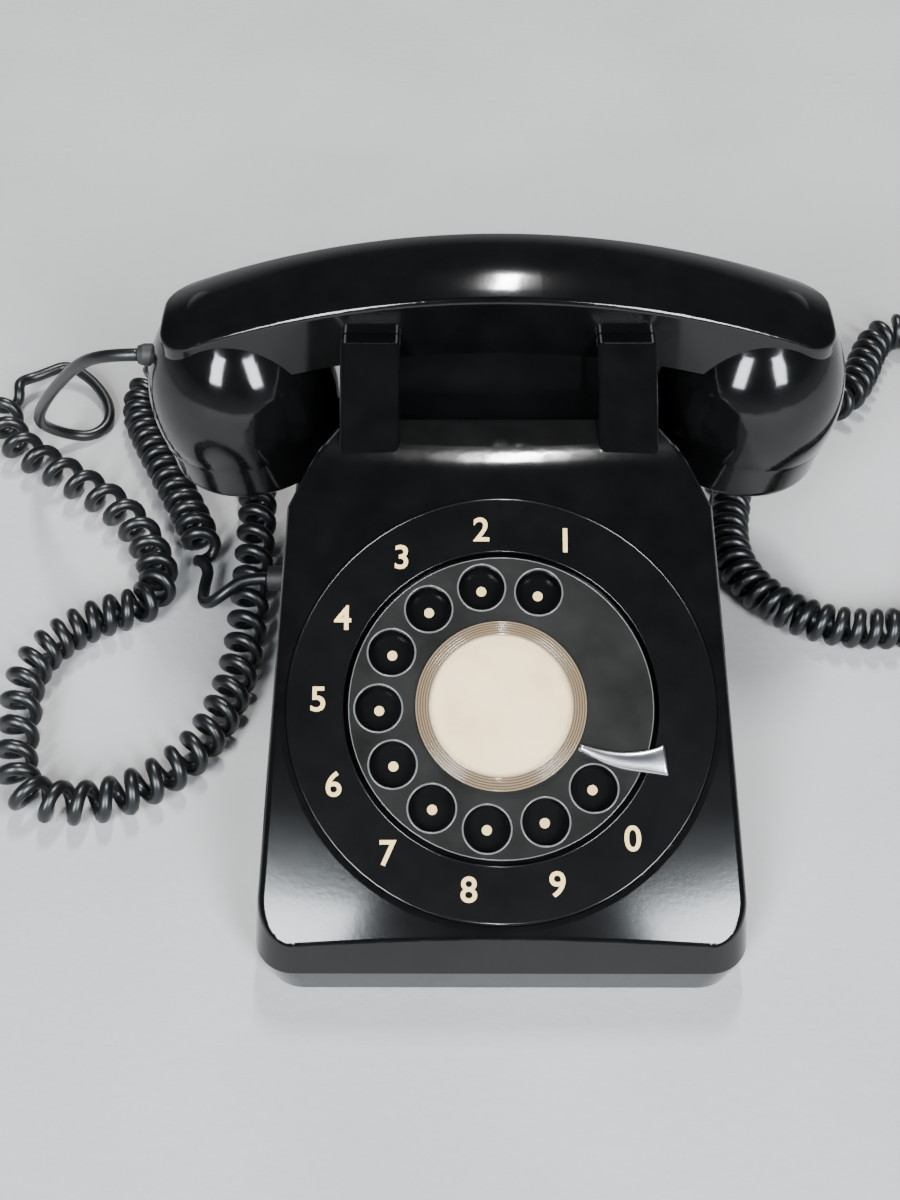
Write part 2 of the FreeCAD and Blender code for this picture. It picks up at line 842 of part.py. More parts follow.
def make_finger_wheel():
    """A clear disc with ten finger holes, made as a body of its own."""
    body = doc.addObject("PartDesign::Body", "finger_wheel")
    plane = [item for item in body.Origin.OriginFeatures if item.Role == "XY_Plane"][0]
    axis = [item for item in body.Origin.OriginFeatures if item.Role == "Z_Axis"][0]
    features = []
    hole_x, hole_y = polar(S.hole_circle, S.first_hole)
    circles = (
        ("wheel_outline", S.wheel_radius, 0, 0),
        ("finger_hole", S.hole_radius, hole_x, hole_y),
    )
    for name, radius, x, y in circles:
        sketch = body.newObject("Sketcher::SketchObject", name)
        sketch.AttachmentSupport = [(plane, "")]
        sketch.MapMode = "FlatFace"
        middle = Vector(as_size(x).value, as_size(y).value, 0)
        circle = sketch.addGeometry(Part.Circle(middle, Z_AXIS, radius.value))
        index = sketch.addConstraint(Sketcher.Constraint("Radius", circle, radius.value))
        sketch.renameConstraint(index, "radius")
        sketch.setExpression("Constraints.radius", radius.text)
        pin_point(sketch, circle, 3, (x, y), 0)
        features.append(sketch)
    disc = body.newObject("PartDesign::Pad", "wheel_disc")
    disc.Profile = features[0]
    bind(disc, Length=S.wheel_thickness)
    hole = body.newObject("PartDesign::Pocket", "wheel_hole")
    hole.Profile = features[1]
    hole.Type = "ThroughAll"
    hole.Reversed = True
    doc.recompute()
    ring = body.newObject("PartDesign::PolarPattern", "wheel_holes")
    ring.Originals = [hole]
    ring.Axis = (axis, [""])
    ring.Occurrences = FINGER_HOLES
    bind(ring, Angle=S.hole_step * (FINGER_HOLES - 1))
    body.Tip = ring
    DIAL.put(body, z=S.wheel_top - S.wheel_thickness)
    node(body, "finger_wheel")


def make_wheel_middle():
    base = S.wheel_top
    seat = S.card_radius + S.fit_gap
    under = base + S.card_thickness
    top = base + S.cover_height
    cover = [
        (0, under),
        (seat, under),
        (seat, base),
        (S.cover_radius, base),
        (S.cover_radius, top - S.cover_bevel),
        (S.cover_radius - S.cover_bevel, top),
        (0, top),
    ]
    node(turned("card_cover", cover, DIAL), "card_cover")
    node(rod("number_card", S.card_radius, base, under, frame=DIAL), "number_card")
    high = S.wheel_top - S.wheel_thickness
    hub = rod("hub_blank", S.hub_radius, S.running_fit - S.plate_drop, high, frame=DIAL)
    bore = rod("hub_bore", S.shaft_radius, -S.well_depth, high, frame=DIAL)
    node(cut("wheel_hub", hub, bore), "wheel_hub")
    low = -S.rear_plate_drop - S.frame_thickness
    node(rod("dial_shaft", S.shaft_radius, low, high, frame=DIAL), "dial_shaft")


def make_finger_stop():
    """A curved hook over the wheel, with its foot on the number ring."""
    middle = (STOP_OUTER + S.stop_inner) / 2
    blade = [
        polar(STOP_OUTER, S.stop_angle + S.stop_half_angle),
        polar(STOP_OUTER, S.stop_angle - S.stop_half_angle),
        polar(middle, S.stop_middle_angle - S.stop_middle_half_angle),
        polar(S.stop_inner, S.stop_tip_angle - S.stop_tip_half_angle),
        polar(S.stop_inner, S.stop_tip_angle + S.stop_tip_half_angle),
        polar(middle, S.stop_middle_angle + S.stop_middle_half_angle),
    ]
    low = S.wheel_top + S.stop_gap
    hook = extruded("stop_blade", outline("stop_outline", blade), S.stop_thickness, DIAL, z=low)
    near = S.ring_bore + 1
    first = S.stop_angle + S.stop_foot_half_angle
    last = S.stop_angle - S.stop_foot_half_angle
    foot = [polar(near, first), polar(near, last), polar(STOP_OUTER, last), polar(STOP_OUTER, first)]
    height = low + S.stop_thickness - S.ring_proud
    stand = extruded("stop_foot", outline("stop_foot_outline", foot), height, DIAL, z=S.ring_proud)
    node(fuse("finger_stop", hook, stand), "finger_stop")


make_dial_face()
make_finger_wheel()
make_wheel_middle()
make_finger_stop()


# Dial mechanism

PULSE_REACH = S.main_gear_module * (MAIN_TEETH + PULSE_TEETH) / 2 + S.mesh_room
PULSE_AXIS = polar(PULSE_REACH, S.pulse_direction)
GOVERNOR_REACH = S.governor_gear_module * (GOVERNOR_GEAR_TEETH + GOVERNOR_TEETH) / 2 + S.mesh_room
GOVERNOR_STEP = polar(GOVERNOR_REACH, S.governor_direction)
GOVERNOR_AXIS = (PULSE_AXIS[0] + GOVERNOR_STEP[0], PULSE_AXIS[1] + GOVERNOR_STEP[1])
FRAME_UNDER = -S.frame_drop - S.frame_thickness
REAR_UNDER = -S.rear_plate_drop - S.frame_thickness
POST_ANGLES = (60, 240, 330)


def gear(name, module, teeth, low, height, centre, turn):
    """Involute teeth round a centre of the dial frame, the first at the angle turn."""
    pressure_angle = 20
    builder = fcgear.FCWireBuilder()
    involute.CreateExternalGear(builder, module.value, teeth, pressure_angle, True, 0.9, 1.15, 0.2)
    rim = Part.Wire([curve.toShape() for curve in builder.wire])
    rim.rotate(Vector(), Z_AXIS, turn)
    thing = doc.addObject("Part::Feature", name)
    thing.Shape = Part.Face(rim).extrude(Z_AXIS * as_size(height).value)
    return DIAL.put(thing, centre[0], centre[1], low)


def mesh_turn(direction, teeth, other_turn, other_teeth):
    """The angle that sets a gear's gap against the tooth of the gear it meets."""
    phase = (direction - other_turn) * other_teeth / 360.0
    return direction + 180 - (0.5 - phase) * 360.0 / teeth


def make_gear_train():
    middle = (as_size(0), as_size(0))
    low = -S.main_gear_drop - S.main_gear_thickness
    blank = gear("main_gear_blank", S.main_gear_module, MAIN_TEETH, low, S.main_gear_thickness, middle, 0.0)
    bore = rod("main_gear_bore", S.shaft_radius, low, 0, frame=DIAL)
    node(cut("main_gear", blank, bore), "main_gear")

    pulse_turn = mesh_turn(S.pulse_direction.value, PULSE_TEETH, 0.0, MAIN_TEETH)
    pinion = gear(
        "pulse_teeth",
        S.main_gear_module,
        PULSE_TEETH,
        low,
        S.main_gear_thickness,
        PULSE_AXIS,
        pulse_turn,
    )
    shaft = rod("pulse_shaft", S.pulse_shaft_radius, REAR_UNDER, -S.frame_drop, *PULSE_AXIS, DIAL)
    node(fuse("pulse_pinion", pinion, shaft), "pulse_pinion")

    low = -S.governor_gear_drop - S.governor_gear_thickness
    blank = gear(
        "governor_gear_blank",
        S.governor_gear_module,
        GOVERNOR_GEAR_TEETH,
        low,
        S.governor_gear_thickness,
        PULSE_AXIS,
        0.0,
    )
    bore = rod("governor_gear_bore", S.pulse_shaft_radius, low, 0, *PULSE_AXIS, DIAL)
    node(cut("governor_gear", blank, bore), "governor_gear")

    spin = mesh_turn(S.governor_direction.value, GOVERNOR_TEETH, 0.0, GOVERNOR_GEAR_TEETH)
    teeth = gear(
        "governor_teeth",
        S.governor_gear_module,
        GOVERNOR_TEETH,
        low,
        S.governor_gear_thickness,
        GOVERNOR_AXIS,
        spin,
    )
    end = REAR_UNDER - S.governor_cup_height
    stem = rod(
        "governor_stem", S.governor_spindle_radius, end, -S.governor_gear_drop, *GOVERNOR_AXIS, DIAL
    )
    node(fuse("governor_spindle", teeth, stem), "governor_spindle")


def make_pulse_cam():
    high = -S.pulse_cam_drop
    low = high - S.pulse_cam_thickness
    lobes = [rod("cam_disc", S.pulse_cam_radius, low, high, *PULSE_AXIS, DIAL)]
    lobe = S.pulse_cam_lobe - S.pulse_cam_radius
    for count in range(CAM_LOBES):
        x, y = polar(S.pulse_cam_radius, S.first_lobe + count * 360 / CAM_LOBES)
        lobes.append(rod("cam_lobe_%d" % count, lobe, low, high, PULSE_AXIS[0] + x, PULSE_AXIS[1] + y, DIAL))
    bore = rod("cam_bore", S.pulse_shaft_radius, low, high, *PULSE_AXIS, DIAL)
    node(cut("pulse_cam", fuse("cam_blank", *lobes), bore), "pulse_cam")
    near = PULSE_AXIS[1] + S.pulse_cam_lobe + S.fit_gap
    block = box(
        "contact_block",
        (PULSE_AXIS[0] + S.pulse_cam_lobe, PULSE_AXIS[0] + 1.6 * S.pulse_cam_lobe),
        (near, near + 4 * S.leaf_gap),
        (low - S.leaf_gap, FRAME_UNDER),
        DIAL,
    )
    leaves = [block]
    for count in range(2):
        start = near + count * S.leaf_gap
        leaves.append(
            box(
                "pulse_leaf_%d" % count,
                (PULSE_AXIS[0] - S.hub_radius, PULSE_AXIS[0] + 1.2 * S.pulse_cam_lobe),
                (start, start + S.leaf_thickness),
                (low, high),
                DIAL,
            )
        )
    node(fuse("pulse_contacts", *leaves), "pulse_contacts")


def make_governor():
    cup_low = REAR_UNDER - S.governor_cup_height
    inner = S.governor_cup_radius - S.governor_cup_wall
    hole = S.governor_spindle_radius + S.running_fit
    cup = [
        (hole, cup_low),
        (S.governor_cup_radius, cup_low),
        (S.governor_cup_radius, REAR_UNDER),
        (inner, REAR_UNDER),
        (inner, cup_low + S.governor_cup_wall),
        (hole, cup_low + S.governor_cup_wall),
    ]
    node(turned("governor_cup", cup, DIAL, *GOVERNOR_AXIS), "governor_cup")
    low = cup_low + 2 * S.governor_cup_wall
    high = low + S.governor_weight_height
    x, y = GOVERNOR_AXIS
    reach = S.governor_weight_circle
    half = S.governor_spindle_radius * 2
    arms = [box("governor_arm", (x - reach, x + reach), (y - half / 2, y + half / 2), (low, high), DIAL)]
    arms.append(rod("governor_hub", half, low, high, x, y, DIAL))
    for side, sign in SIDES.items():
        arms.append(rod("weight_" + side, S.governor_weight_radius, low, high, x + sign * reach, y, DIAL))
    bore = rod("governor_hub_bore", S.governor_spindle_radius, low, high, x, y, DIAL)
    node(cut("governor_weights", fuse("governor_arms", *arms), bore), "governor_weights")


def make_dial_frame():
    fit = S.running_fit
    front = rod("frame_blank", S.frame_radius, FRAME_UNDER, -S.frame_drop, frame=DIAL)
    rear = rod("rear_blank", S.rear_plate_radius, REAR_UNDER, -S.rear_plate_drop, frame=DIAL)
    deep = REAR_UNDER
    node(
        cut(
            "dial_frame",
            front,
            rod("frame_shaft_hole", S.shaft_radius + fit, deep, 0, frame=DIAL),
            rod("frame_pulse_hole", S.pulse_shaft_radius + fit, deep, 0, *PULSE_AXIS, DIAL),
        ),
        "dial_frame",
    )
    node(
        cut(
            "dial_rear_plate",
            rear,
            rod("rear_shaft_hole", S.shaft_radius + fit, deep, 0, frame=DIAL),
            rod("rear_pulse_hole", S.pulse_shaft_radius + fit, deep, 0, *PULSE_AXIS, DIAL),
            rod("rear_governor_hole", S.governor_spindle_radius + fit, deep, 0, *GOVERNOR_AXIS, DIAL),
        ),
        "dial_rear_plate",
    )
    posts = []
    plate_under = -S.plate_drop - S.number_plate_thickness
    for angle in POST_ANGLES:
        x, y = polar(S.post_circle, angle)
        posts.append(rod("front_post_%d" % angle, S.post_radius, -S.frame_drop, plate_under, x, y, DIAL))
        posts.append(rod("rear_post_%d" % angle, S.post_radius, -S.rear_plate_drop, FRAME_UNDER, x, y, DIAL))
    node(group("dial_posts", *posts), "dial_posts")
    front_y, front_z = DIAL.point(as_size(0), -S.bracket_half_reach, FRAME_UNDER)[1:]
    back_y, back_z = DIAL.point(as_size(0), S.bracket_half_reach, FRAME_UNDER)[1:]
    leg = [(front_y, PLATE_TOP), (back_y, PLATE_TOP), (back_y, back_z), (front_y, front_z)]
    wide = S.bracket_half_width
    legs = [
        side_profile("bracket_left", leg, -wide, S.bracket_thickness - wide),
        side_profile("bracket_right", leg, wide - S.bracket_thickness, wide),
        box("bracket_foot", (-wide, wide), (front_y, back_y), (PLATE_TOP, PLATE_TOP + S.bracket_thickness)),
    ]
    node(fuse("dial_bracket", *legs), "dial_bracket")


make_gear_train()
make_pulse_cam()
make_governor()
make_dial_frame()


# Hook switch


def make_hook_switch():
    half_width = S.plunger_x + S.lever_bar_half_depth
    low = S.lever_pivot_z - S.lever_thickness / 2
    high = S.lever_pivot_z + S.lever_thickness / 2
    bar_y = (S.grip_y - S.lever_bar_half_depth, S.grip_y + S.lever_bar_half_depth)
    parts = [box("lever_bar", (-half_width, half_width), bar_y, (low, high))]
    start = S.lever_pivot_y - S.lever_bar_half_depth
    inner = half_width - S.lever_arm_width
    parts.append(box("lever_arm_left", (-half_width, -inner), (start, bar_y[1]), (low, high)))
    parts.append(box("lever_arm_right", (inner, half_width), (start, bar_y[1]), (low, high)))
    bore = cross_rod(
        "lever_bore",
        S.lever_pin_radius + S.running_fit,
        -half_width - 1,
        half_width + 1,
        S.lever_pivot_y,
        S.lever_pivot_z,
    )
    node(cut("hook_lever", fuse("lever_blank", *parts), bore), "hook_lever")

    inside = half_width + S.hook_upright_gap
    wide = inside + S.hook_upright_thickness
    depth = (S.lever_pivot_y - S.hook_upright_depth / 2, S.lever_pivot_y + S.hook_upright_depth / 2)
    tall = (PLATE_TOP, S.lever_pivot_z + S.hook_upright_depth / 3)
    uprights = [
        box("upright_left", (-wide, -inside), depth, tall),
        box("upright_right", (inside, wide), depth, tall),
        box(
            "upright_foot",
            (-wide, wide),
            (depth[0], depth[0] + S.hook_upright_depth / 3),
            (PLATE_TOP, PLATE_TOP + S.hook_upright_thickness),
        ),
    ]
    pin_place = (S.lever_pivot_y, S.lever_pivot_z)
    bore = cross_rod("upright_bore", S.lever_pin_radius, -wide, wide, *pin_place)
    node(cut("hook_bracket", fuse("uprights", *uprights), bore), "hook_bracket")
    node(cross_rod("hook_lever_pin", S.lever_pin_radius, -wide, wide, *pin_place), "hook_lever_pin")

    top = under_grip(S.plunger_x + S.plunger_radius) - S.plunger_gap
    for side, sign in SIDES.items():
        place = (sign * S.plunger_x, S.grip_y)
        bottom = high + S.fit_gap
        stem = rod("plunger_stem_" + side, S.plunger_radius, bottom, top, *place)
        collar_top = bottom + S.plunger_collar_height
        collar = rod("plunger_collar_" + side, S.plunger_collar, bottom, collar_top, *place)
        node(fuse("hook_plunger_" + side, stem, collar), "hook_plunger_" + side)

    block_x = (-inner + S.hook_upright_gap, S.hook_upright_depth / 2 - inner)
    block_y = (depth[1] + 1, depth[1] + S.hook_upright_depth / 2)
    leaf_top = low - S.fit_gap
    stack = [box("hook_contact_block", block_x, block_y, (PLATE_TOP, leaf_top))]
    for count in range(3):
        high = leaf_top - count * S.leaf_gap
        leaf_y = (block_y[0], S.grip_y - 2 * count)
        stack.append(box("hook_leaf_%d" % count, block_x, leaf_y, (high - S.leaf_thickness, high)))
    node(fuse("hook_contacts", *stack), "hook_contacts")


make_hook_switch()


# Ringer


def make_ringer():
    top = S.gong_rim + S.gong_height
    wall = S.gong_wall
    hole = S.gong_screw_radius
    radius = S.gong_radius
    bend = S.gong_height / 2
    bell = [
        (hole, top - wall),
        (radius - wall, top - wall, bend - wall),
        (radius - wall, S.gong_rim),
        (radius, S.gong_rim),
        (radius, top, bend),
        (hole, top),
    ]
    posts = []
    screws = []
    for side, sign in SIDES.items():
        place = (sign * S.gong_x, GONG_Y)
        node(turned("gong_" + side, bell, TABLE, *place), "gong_" + side)
        post = rod("gong_post_blank_" + side, S.gong_post_radius, PLATE_TOP, top - wall, *place)
        bore = rod("gong_post_bore_" + side, hole, S.gong_rim, top, *place)
        posts.append(cut("gong_post_" + side, post, bore))
        head = rod("gong_head_" + side, S.gong_post_radius, top, top + wall, *place)
        shank = rod("gong_shank_" + side, hole, S.gong_rim, top, *place)
        screws.append(fuse("gong_screw_" + side, head, shank))
    node(group("gong_posts", *posts), "gong_posts")
    node(group("gong_screws", *screws), "gong_screws")

    half = S.coil_length / 2
    wide = half + 2 * S.yoke_thickness
    depth = (COIL_Y - S.yoke_depth / 2, COIL_Y + S.yoke_depth / 2)
    tall = (PLATE_TOP, PLATE_TOP + S.yoke_height)
    yoke = [
        box("yoke_base", (-wide, wide), depth, (PLATE_TOP, PLATE_TOP + S.yoke_thickness)),
        box("yoke_left", (-wide, S.yoke_thickness - wide), depth, tall),
        box("yoke_right", (wide - S.yoke_thickness, wide), depth, tall),
    ]
    bore = cross_rod("yoke_bore", S.core_radius, -wide, wide, COIL_Y, S.coil_z)
    node(cut("ringer_frame", fuse("yoke", *yoke), bore), "ringer_frame")
    node(cross_rod("ringer_core", S.core_radius, -wide, wide, COIL_Y, S.coil_z), "ringer_core")
    winding = cross_rod("winding", S.coil_radius, -half, half, COIL_Y, S.coil_z)
    hollow = cross_rod("winding_bore", S.core_radius, -half, half, COIL_Y, S.coil_z)
    node(cut("ringer_coil", winding, hollow), "ringer_coil")

    pivot = (0, CLAPPER_Y)
    thick = S.clapper_pin_radius + 1
    tall = (S.clapper_z - S.clapper_ball_radius, S.clapper_z + S.clapper_ball_radius)
    bar_y = (CLAPPER_Y - thick, CLAPPER_Y + thick)
    armature = box("armature", (1 - wide, wide - 1), bar_y, tall)
    arm = deep_rod("clapper_arm", S.clapper_pin_radius, bar_y[1] - 1, GONG_Y, 0, S.clapper_z)
    ball = doc.addObject("Part::Sphere", "clapper_ball")
    bind(ball, Radius=S.clapper_ball_radius)
    TABLE.put(ball, 0, GONG_Y, S.clapper_z)
    bore = rod("clapper_bore", S.clapper_pin_radius + S.running_fit, PLATE_TOP, top, *pivot)
    node(cut("clapper", fuse("clapper_blank", armature, arm, ball), bore), "clapper")
    pin = rod("clapper_pin_stem", S.clapper_pin_radius, PLATE_TOP, tall[1] + 2, *pivot)
    collar = rod("clapper_pin_collar", thick, PLATE_TOP, tall[0] - S.fit_gap, *pivot)
    node(fuse("clapper_pin", pin, collar), "clapper_pin")


def make_network():
    half = S.network_width / 2
    back = S.network_front + S.network_depth
    top = PLATE_TOP + S.network_height
    node(box("network_block", (-half, half), (S.network_front, back), (PLATE_TOP, top)), "network_block")
    heads = []
    for row, y in enumerate((S.network_front + S.terminal_pitch / 2, back - S.terminal_pitch / 2)):
        for column in range(TERMINALS):
            x = S.terminal_pitch * (column - (TERMINALS - 1) / 2)
            name = "terminal_%d_%d" % (row, column)
            heads.append(rod(name, S.terminal_radius, top, top + S.terminal_height, x, y))
    node(group("network_terminals", *heads), "network_terminals")


make_ringer()
make_network()


# Handset


def is_bar_ridge(edge):
    """The edges of the bar's crown."""
    middle = edge.valueAt((edge.FirstParameter + edge.LastParameter) / 2)
    along = abs(middle.x)
    return middle.z > under_grip(as_size(along)).value + 1


def make_handset():
    plan = outline("bar_outline", rectangle(S.bar_half_length, S.grip_width / 2, S.bar_end_radius))
    block = extruded("bar_block", plan, S.grip_top, y=S.grip_y, z=S.cup_z)
    hoop = doc.addObject("Part::Torus", "bar_hoop")
    bind(hoop, Radius1=S.grip_arch - S.grip_crown, Radius2=S.grip_crown)
    Frame(0, S.grip_y, S.grip_top - S.grip_arch, X_AXIS, 90).put(hoop)
    arch = deep_rod("bar_under", S.under_arch, 0, FAR, 0, S.grip_under - S.under_arch)
    bar = cut("bar", common("bar_crowned", block, hoop), arch)
    pieces = [rounded("bar_rounded", bar, S.bar_edge, is_bar_ridge)]
    hollows = []
    for side, frame in CUPS.items():
        bowl = doc.addObject("Part::Ellipsoid", "bowl_" + side)
        bind(bowl, Radius1=S.bowl_height, Radius2=S.bowl_radius, Angle1=-asin(S.rim_drop / S.bowl_height))
        pieces.append(frame.put(bowl))
        rim_top = S.rim_thickness - S.rim_drop
        pieces.append(rod("rim_" + side, S.rim_radius, -S.rim_drop, rim_top, frame=frame))
        hollows.append(rod("cup_bore_" + side, S.cup_bore, -S.bowl_radius, S.cup_bore_height, frame=frame))
        hollows.append(
            rod("cup_neck_" + side, S.cup_bore / 2, 0, S.bowl_radius + S.cap_wall, frame=frame)
        )
    channel_z = S.grip_under + S.cap_wall + S.grommet_radius / 2
    hollows.append(cross_rod("wire_channel", S.grommet_radius / 2, -S.cup_x, S.cup_x, S.grip_y, channel_z))
    hollows.append(
        cross_rod("grommet_hole", S.grommet_radius, -2 * S.cup_x, GROMMET_IN, S.grip_y, S.grommet_z)
    )
    node(cut("handset_body", fuse("handset_blank", *pieces), *hollows), "handset_body")


def make_caps():
    bottom = -S.rim_drop - S.cap_height
    inside = S.cap_radius - S.cap_wall
    cup = [
        (0, bottom),
        (S.cap_radius, bottom, S.cap_edge_radius),
        (S.cap_radius, -S.rim_drop),
        (inside, -S.rim_drop),
        (inside, bottom + S.cap_wall, S.cap_edge_radius - S.cap_wall),
        (0, bottom + S.cap_wall),
    ]
    for name, side in (("transmitter", "left"), ("receiver", "right")):
        frame = CUPS[side]
        blank = turned(name + "_cap_blank", cup, frame)
        holes = [rod(name + "_hole", S.sound_hole_radius, bottom - 1, bottom + 3, frame=frame)]
        for count in range(SOUND_HOLES):
            x, y = polar(S.sound_hole_circle, count * 360 / SOUND_HOLES)
            holes.append(
                rod("%s_hole_%d" % (name, count), S.sound_hole_radius, bottom - 1, bottom + 3, x, y, frame)
            )
        node(cut(name + "_cap", blank, *holes), name + "_cap")
        floor = bottom + S.cap_wall
        capsule = rod(name + "_capsule", S.capsule_radius, floor, floor + S.capsule_height, frame=frame)
        node(capsule, name + "_capsule")


GROMMET_IN = -S.cup_x - S.bowl_radius * 0.75
GROMMET_OUT = -S.cup_x - S.bowl_radius - S.grommet_length / 2


def make_grommets():
    shoulder = -S.cup_x - S.bowl_radius
    plug = cross_rod("grommet_plug", S.grommet_radius, shoulder, GROMMET_IN, S.grip_y, S.grommet_z)
    nose = doc.addObject("Part::Cone", "grommet_nose")
    bind(nose, Radius1=S.wire * 0.7, Radius2=S.grommet_radius, Height=shoulder - GROMMET_OUT)
    Frame(GROMMET_OUT, S.grip_y, S.grommet_z, Y_AXIS, 90).put(nose)
    node(fuse("handset_grommet", plug, nose), "handset_grommet")
    wall_x = S.body_width / 2
    gland = cross_rod(
        "handset_cord_gland",
        S.gland_radius,
        -wall_x - S.gland_length,
        2 * S.wall - wall_x,
        S.handset_gland_y,
        S.handset_gland_z,
    )
    node(gland, "handset_cord_gland")
    wall_y = S.body_length / 2
    gland = deep_rod(
        "line_cord_gland",
        S.gland_radius,
        wall_y - 2 * S.wall,
        wall_y + S.gland_length,
        S.line_gland_x,
        S.line_gland_z,
    )
    node(gland, "line_cord_gland")


make_handset()
make_caps()
make_grommets()


# Cords

COIL_Z = S.curl_outside.value / 2 + S.floor_gap.value
WIRE_Z = S.wire.value / 2 + S.floor_gap.value
GROMMET_END = Vector(GROMMET_OUT.value, S.grip_y.value, S.grommet_z.value)
HANDSET_GLAND_END = Vector(
    -S.body_width.value / 2 - S.gland_length.value, S.handset_gland_y.value, S.handset_gland_z.value
)
LINE_GLAND_END = Vector(
    S.line_gland_x.value, S.body_length.value / 2 + S.gland_length.value, S.line_gland_z.value
)

# The handset cord: a plain lead from the grommet to the table, curls, and a plain tail to its gland
HANDSET_LEAD = [
    (-130, 78, 90),
    (-142, 84, 82),
    (-154, 93.5, 65),
    (-164, 102, 49),
    (-171.5, 110.5, 34),
    (-175.5, 119, 21),
    (-174, 126, 11),
    (-168.5, 129.5, 4.8),
    (-161, 131, WIRE_Z),
    (-155.5, 136.5, WIRE_Z),
    (-155, 145, 2.6),
    (-158.5, 154, 3.6),
    (-166, 163, 5.4),
    (-175.5, 169, 7.4),
    (-183, 164, COIL_Z),
]
HANDSET_CURL_ROUTE = [
    (-183, 164),
    (-192, 158),
    (-197, 146),
    (-195, 131),
    (-185, 118),
    (-172, 108),
    (-158, 98),
    (-145, 88),
    (-134, 76),
    (-126, 62),
    (-121, 48),
    (-126, 37),
    (-138, 33),
    (-150, 26),
    (-160, 14),
    (-163, 0),
    (-161, -15),
    (-160, -30),
    (-155, -43),
    (-142, -47),
    (-127, -46),
    (-113, -39),
    (-101, -28),
    (-94, -14),
    (-90, 1),
    (-88, 17),
    (-88, 34),
    (-88, 51),
    (-88.5, 68),
    (-89, 85),
    (-91, 102),
    (-95, 119),
    (-101, 136),
    (-109, 152),
    (-121, 163),
    (-135, 163),
    (-142, 152),
    (-141, 137),
    (-135, 123),
    (-128, 109),
    (-121, 95),
    (-114, 81),
    (-108, 67),
    (-105, 54),
    (-105, 45),
]
HANDSET_TAIL = [
    (-105, 45, COIL_Z),
    (-104.7, 38, 9.2),
    (-101, 33, 13.6),
    (-95, 34.5, 18.2),
    (-88.5, 39, 20.5),
]

# The line cord: a plain lead from the gland at the back, curls, and a plain end to its plug
LINE_LEAD = [
    (45, 125, 12),
    (51, 132, 10.4),
    (60, 133, 8.6),
    (70, 131, 7.9),
    (79, 126, COIL_Z),
]
LINE_CURL_ROUTE = [
    (79, 126),
    (87, 118),
    (92, 106),
    (92.5, 92),
    (89, 78),
    (88, 62),
    (93, 47),
    (104, 35),
    (118, 28),
    (133, 26),
    (148, 27),
    (161, 34),
    (170, 46),
    (176, 61),
    (180, 78),
    (183, 96),
    (185, 114),
    (187, 132),
    (188.5, 150),
    (189.5, 167),
    (187.5, 182),
    (178.5, 191),
    (166.5, 188),
    (159, 176),
    (153.5, 162),
    (146, 149),
    (135.5, 139),
    (124, 132),
]
LINE_END = [
    (124, 132, COIL_Z),
    (115, 129.5, 6.4),
    (106.5, 131.5, 5.8),
    (99, 138, 5.8),
    (99, 146, 5.8),
]


def cord_tube(name, points):
    """A plain wire along straight runs joined by the largest arcs that the runs allow."""
    share = 0.45
    points = [Vector(*point) for point in points]
    edges = []
    start = points[0]
    radii = []
    for before, here, after in zip(points, points[1:], points[2:]):
        back = (before - here).normalize()
        ahead = (after - here).normalize()
        trim = share * min((before - here).Length, (after - here).Length)
        half = back.getAngle(ahead) / 2
        radius = trim * math.tan(half)
        first = here + back * trim
        last = here + ahead * trim
        middle = here + (back + ahead).normalize() * (radius / math.sin(half) - radius)
        edges.append(Part.LineSegment(start, first).toShape())
        edges.append(Part.Arc(first, middle, last).toShape())
        radii.append(radius)
        start = last
    edges.append(Part.LineSegment(start, points[-1]).toShape())
    print(name, "bend radii", " ".join("%.1f" % radius for radius in radii))
    return swept(name, edges)


def swept(name, edges):
    """A round wire along a chain of tangent edges."""
    path = Part.Wire(edges)
    first = path.Edges[0]
    start = first.valueAt(first.FirstParameter)
    heading = first.tangentAt(first.FirstParameter)
    profile = Part.Wire([Part.makeCircle(S.wire.value / 2, start, heading)])
    thing = doc.addObject("Part::Feature", name)
    thing.Shape = path.makePipeShell([profile], True, False)
    section = math.pi * S.wire.value ** 2 / 4
    fullness = thing.Shape.Volume / section / path.Length
    print(name, "length %.1f, volume over section times length %.4f" % (path.Length, fullness))
    return node(thing, name)


def biarc(start, heading, end, arrival):
    """Two arcs that leave one point and reach another along given headings."""
    span = end - start
    both = heading + arrival
    spread = 2 * (1 - heading.dot(arrival))
    lean = span.dot(both)
    reach = (math.sqrt(lean * lean + spread * span.dot(span)) - lean) / spread
    first = start + heading * reach
    last = end - arrival * reach
    joint = (first + last) * 0.5
    arcs = []
    for here, corner, there in ((start, first, joint), (joint, last, end)):
        chord = (here + there) * 0.5
        rise = corner - chord
        half = (here - corner).getAngle(there - corner) / 2
        side = (there - here).Length / 2
        sagitta = side * (1 - math.sin(half)) / math.cos(half)
        arcs.append(Part.Arc(here, chord + rise.normalize() * sagitta, there).toShape())
    return arcs


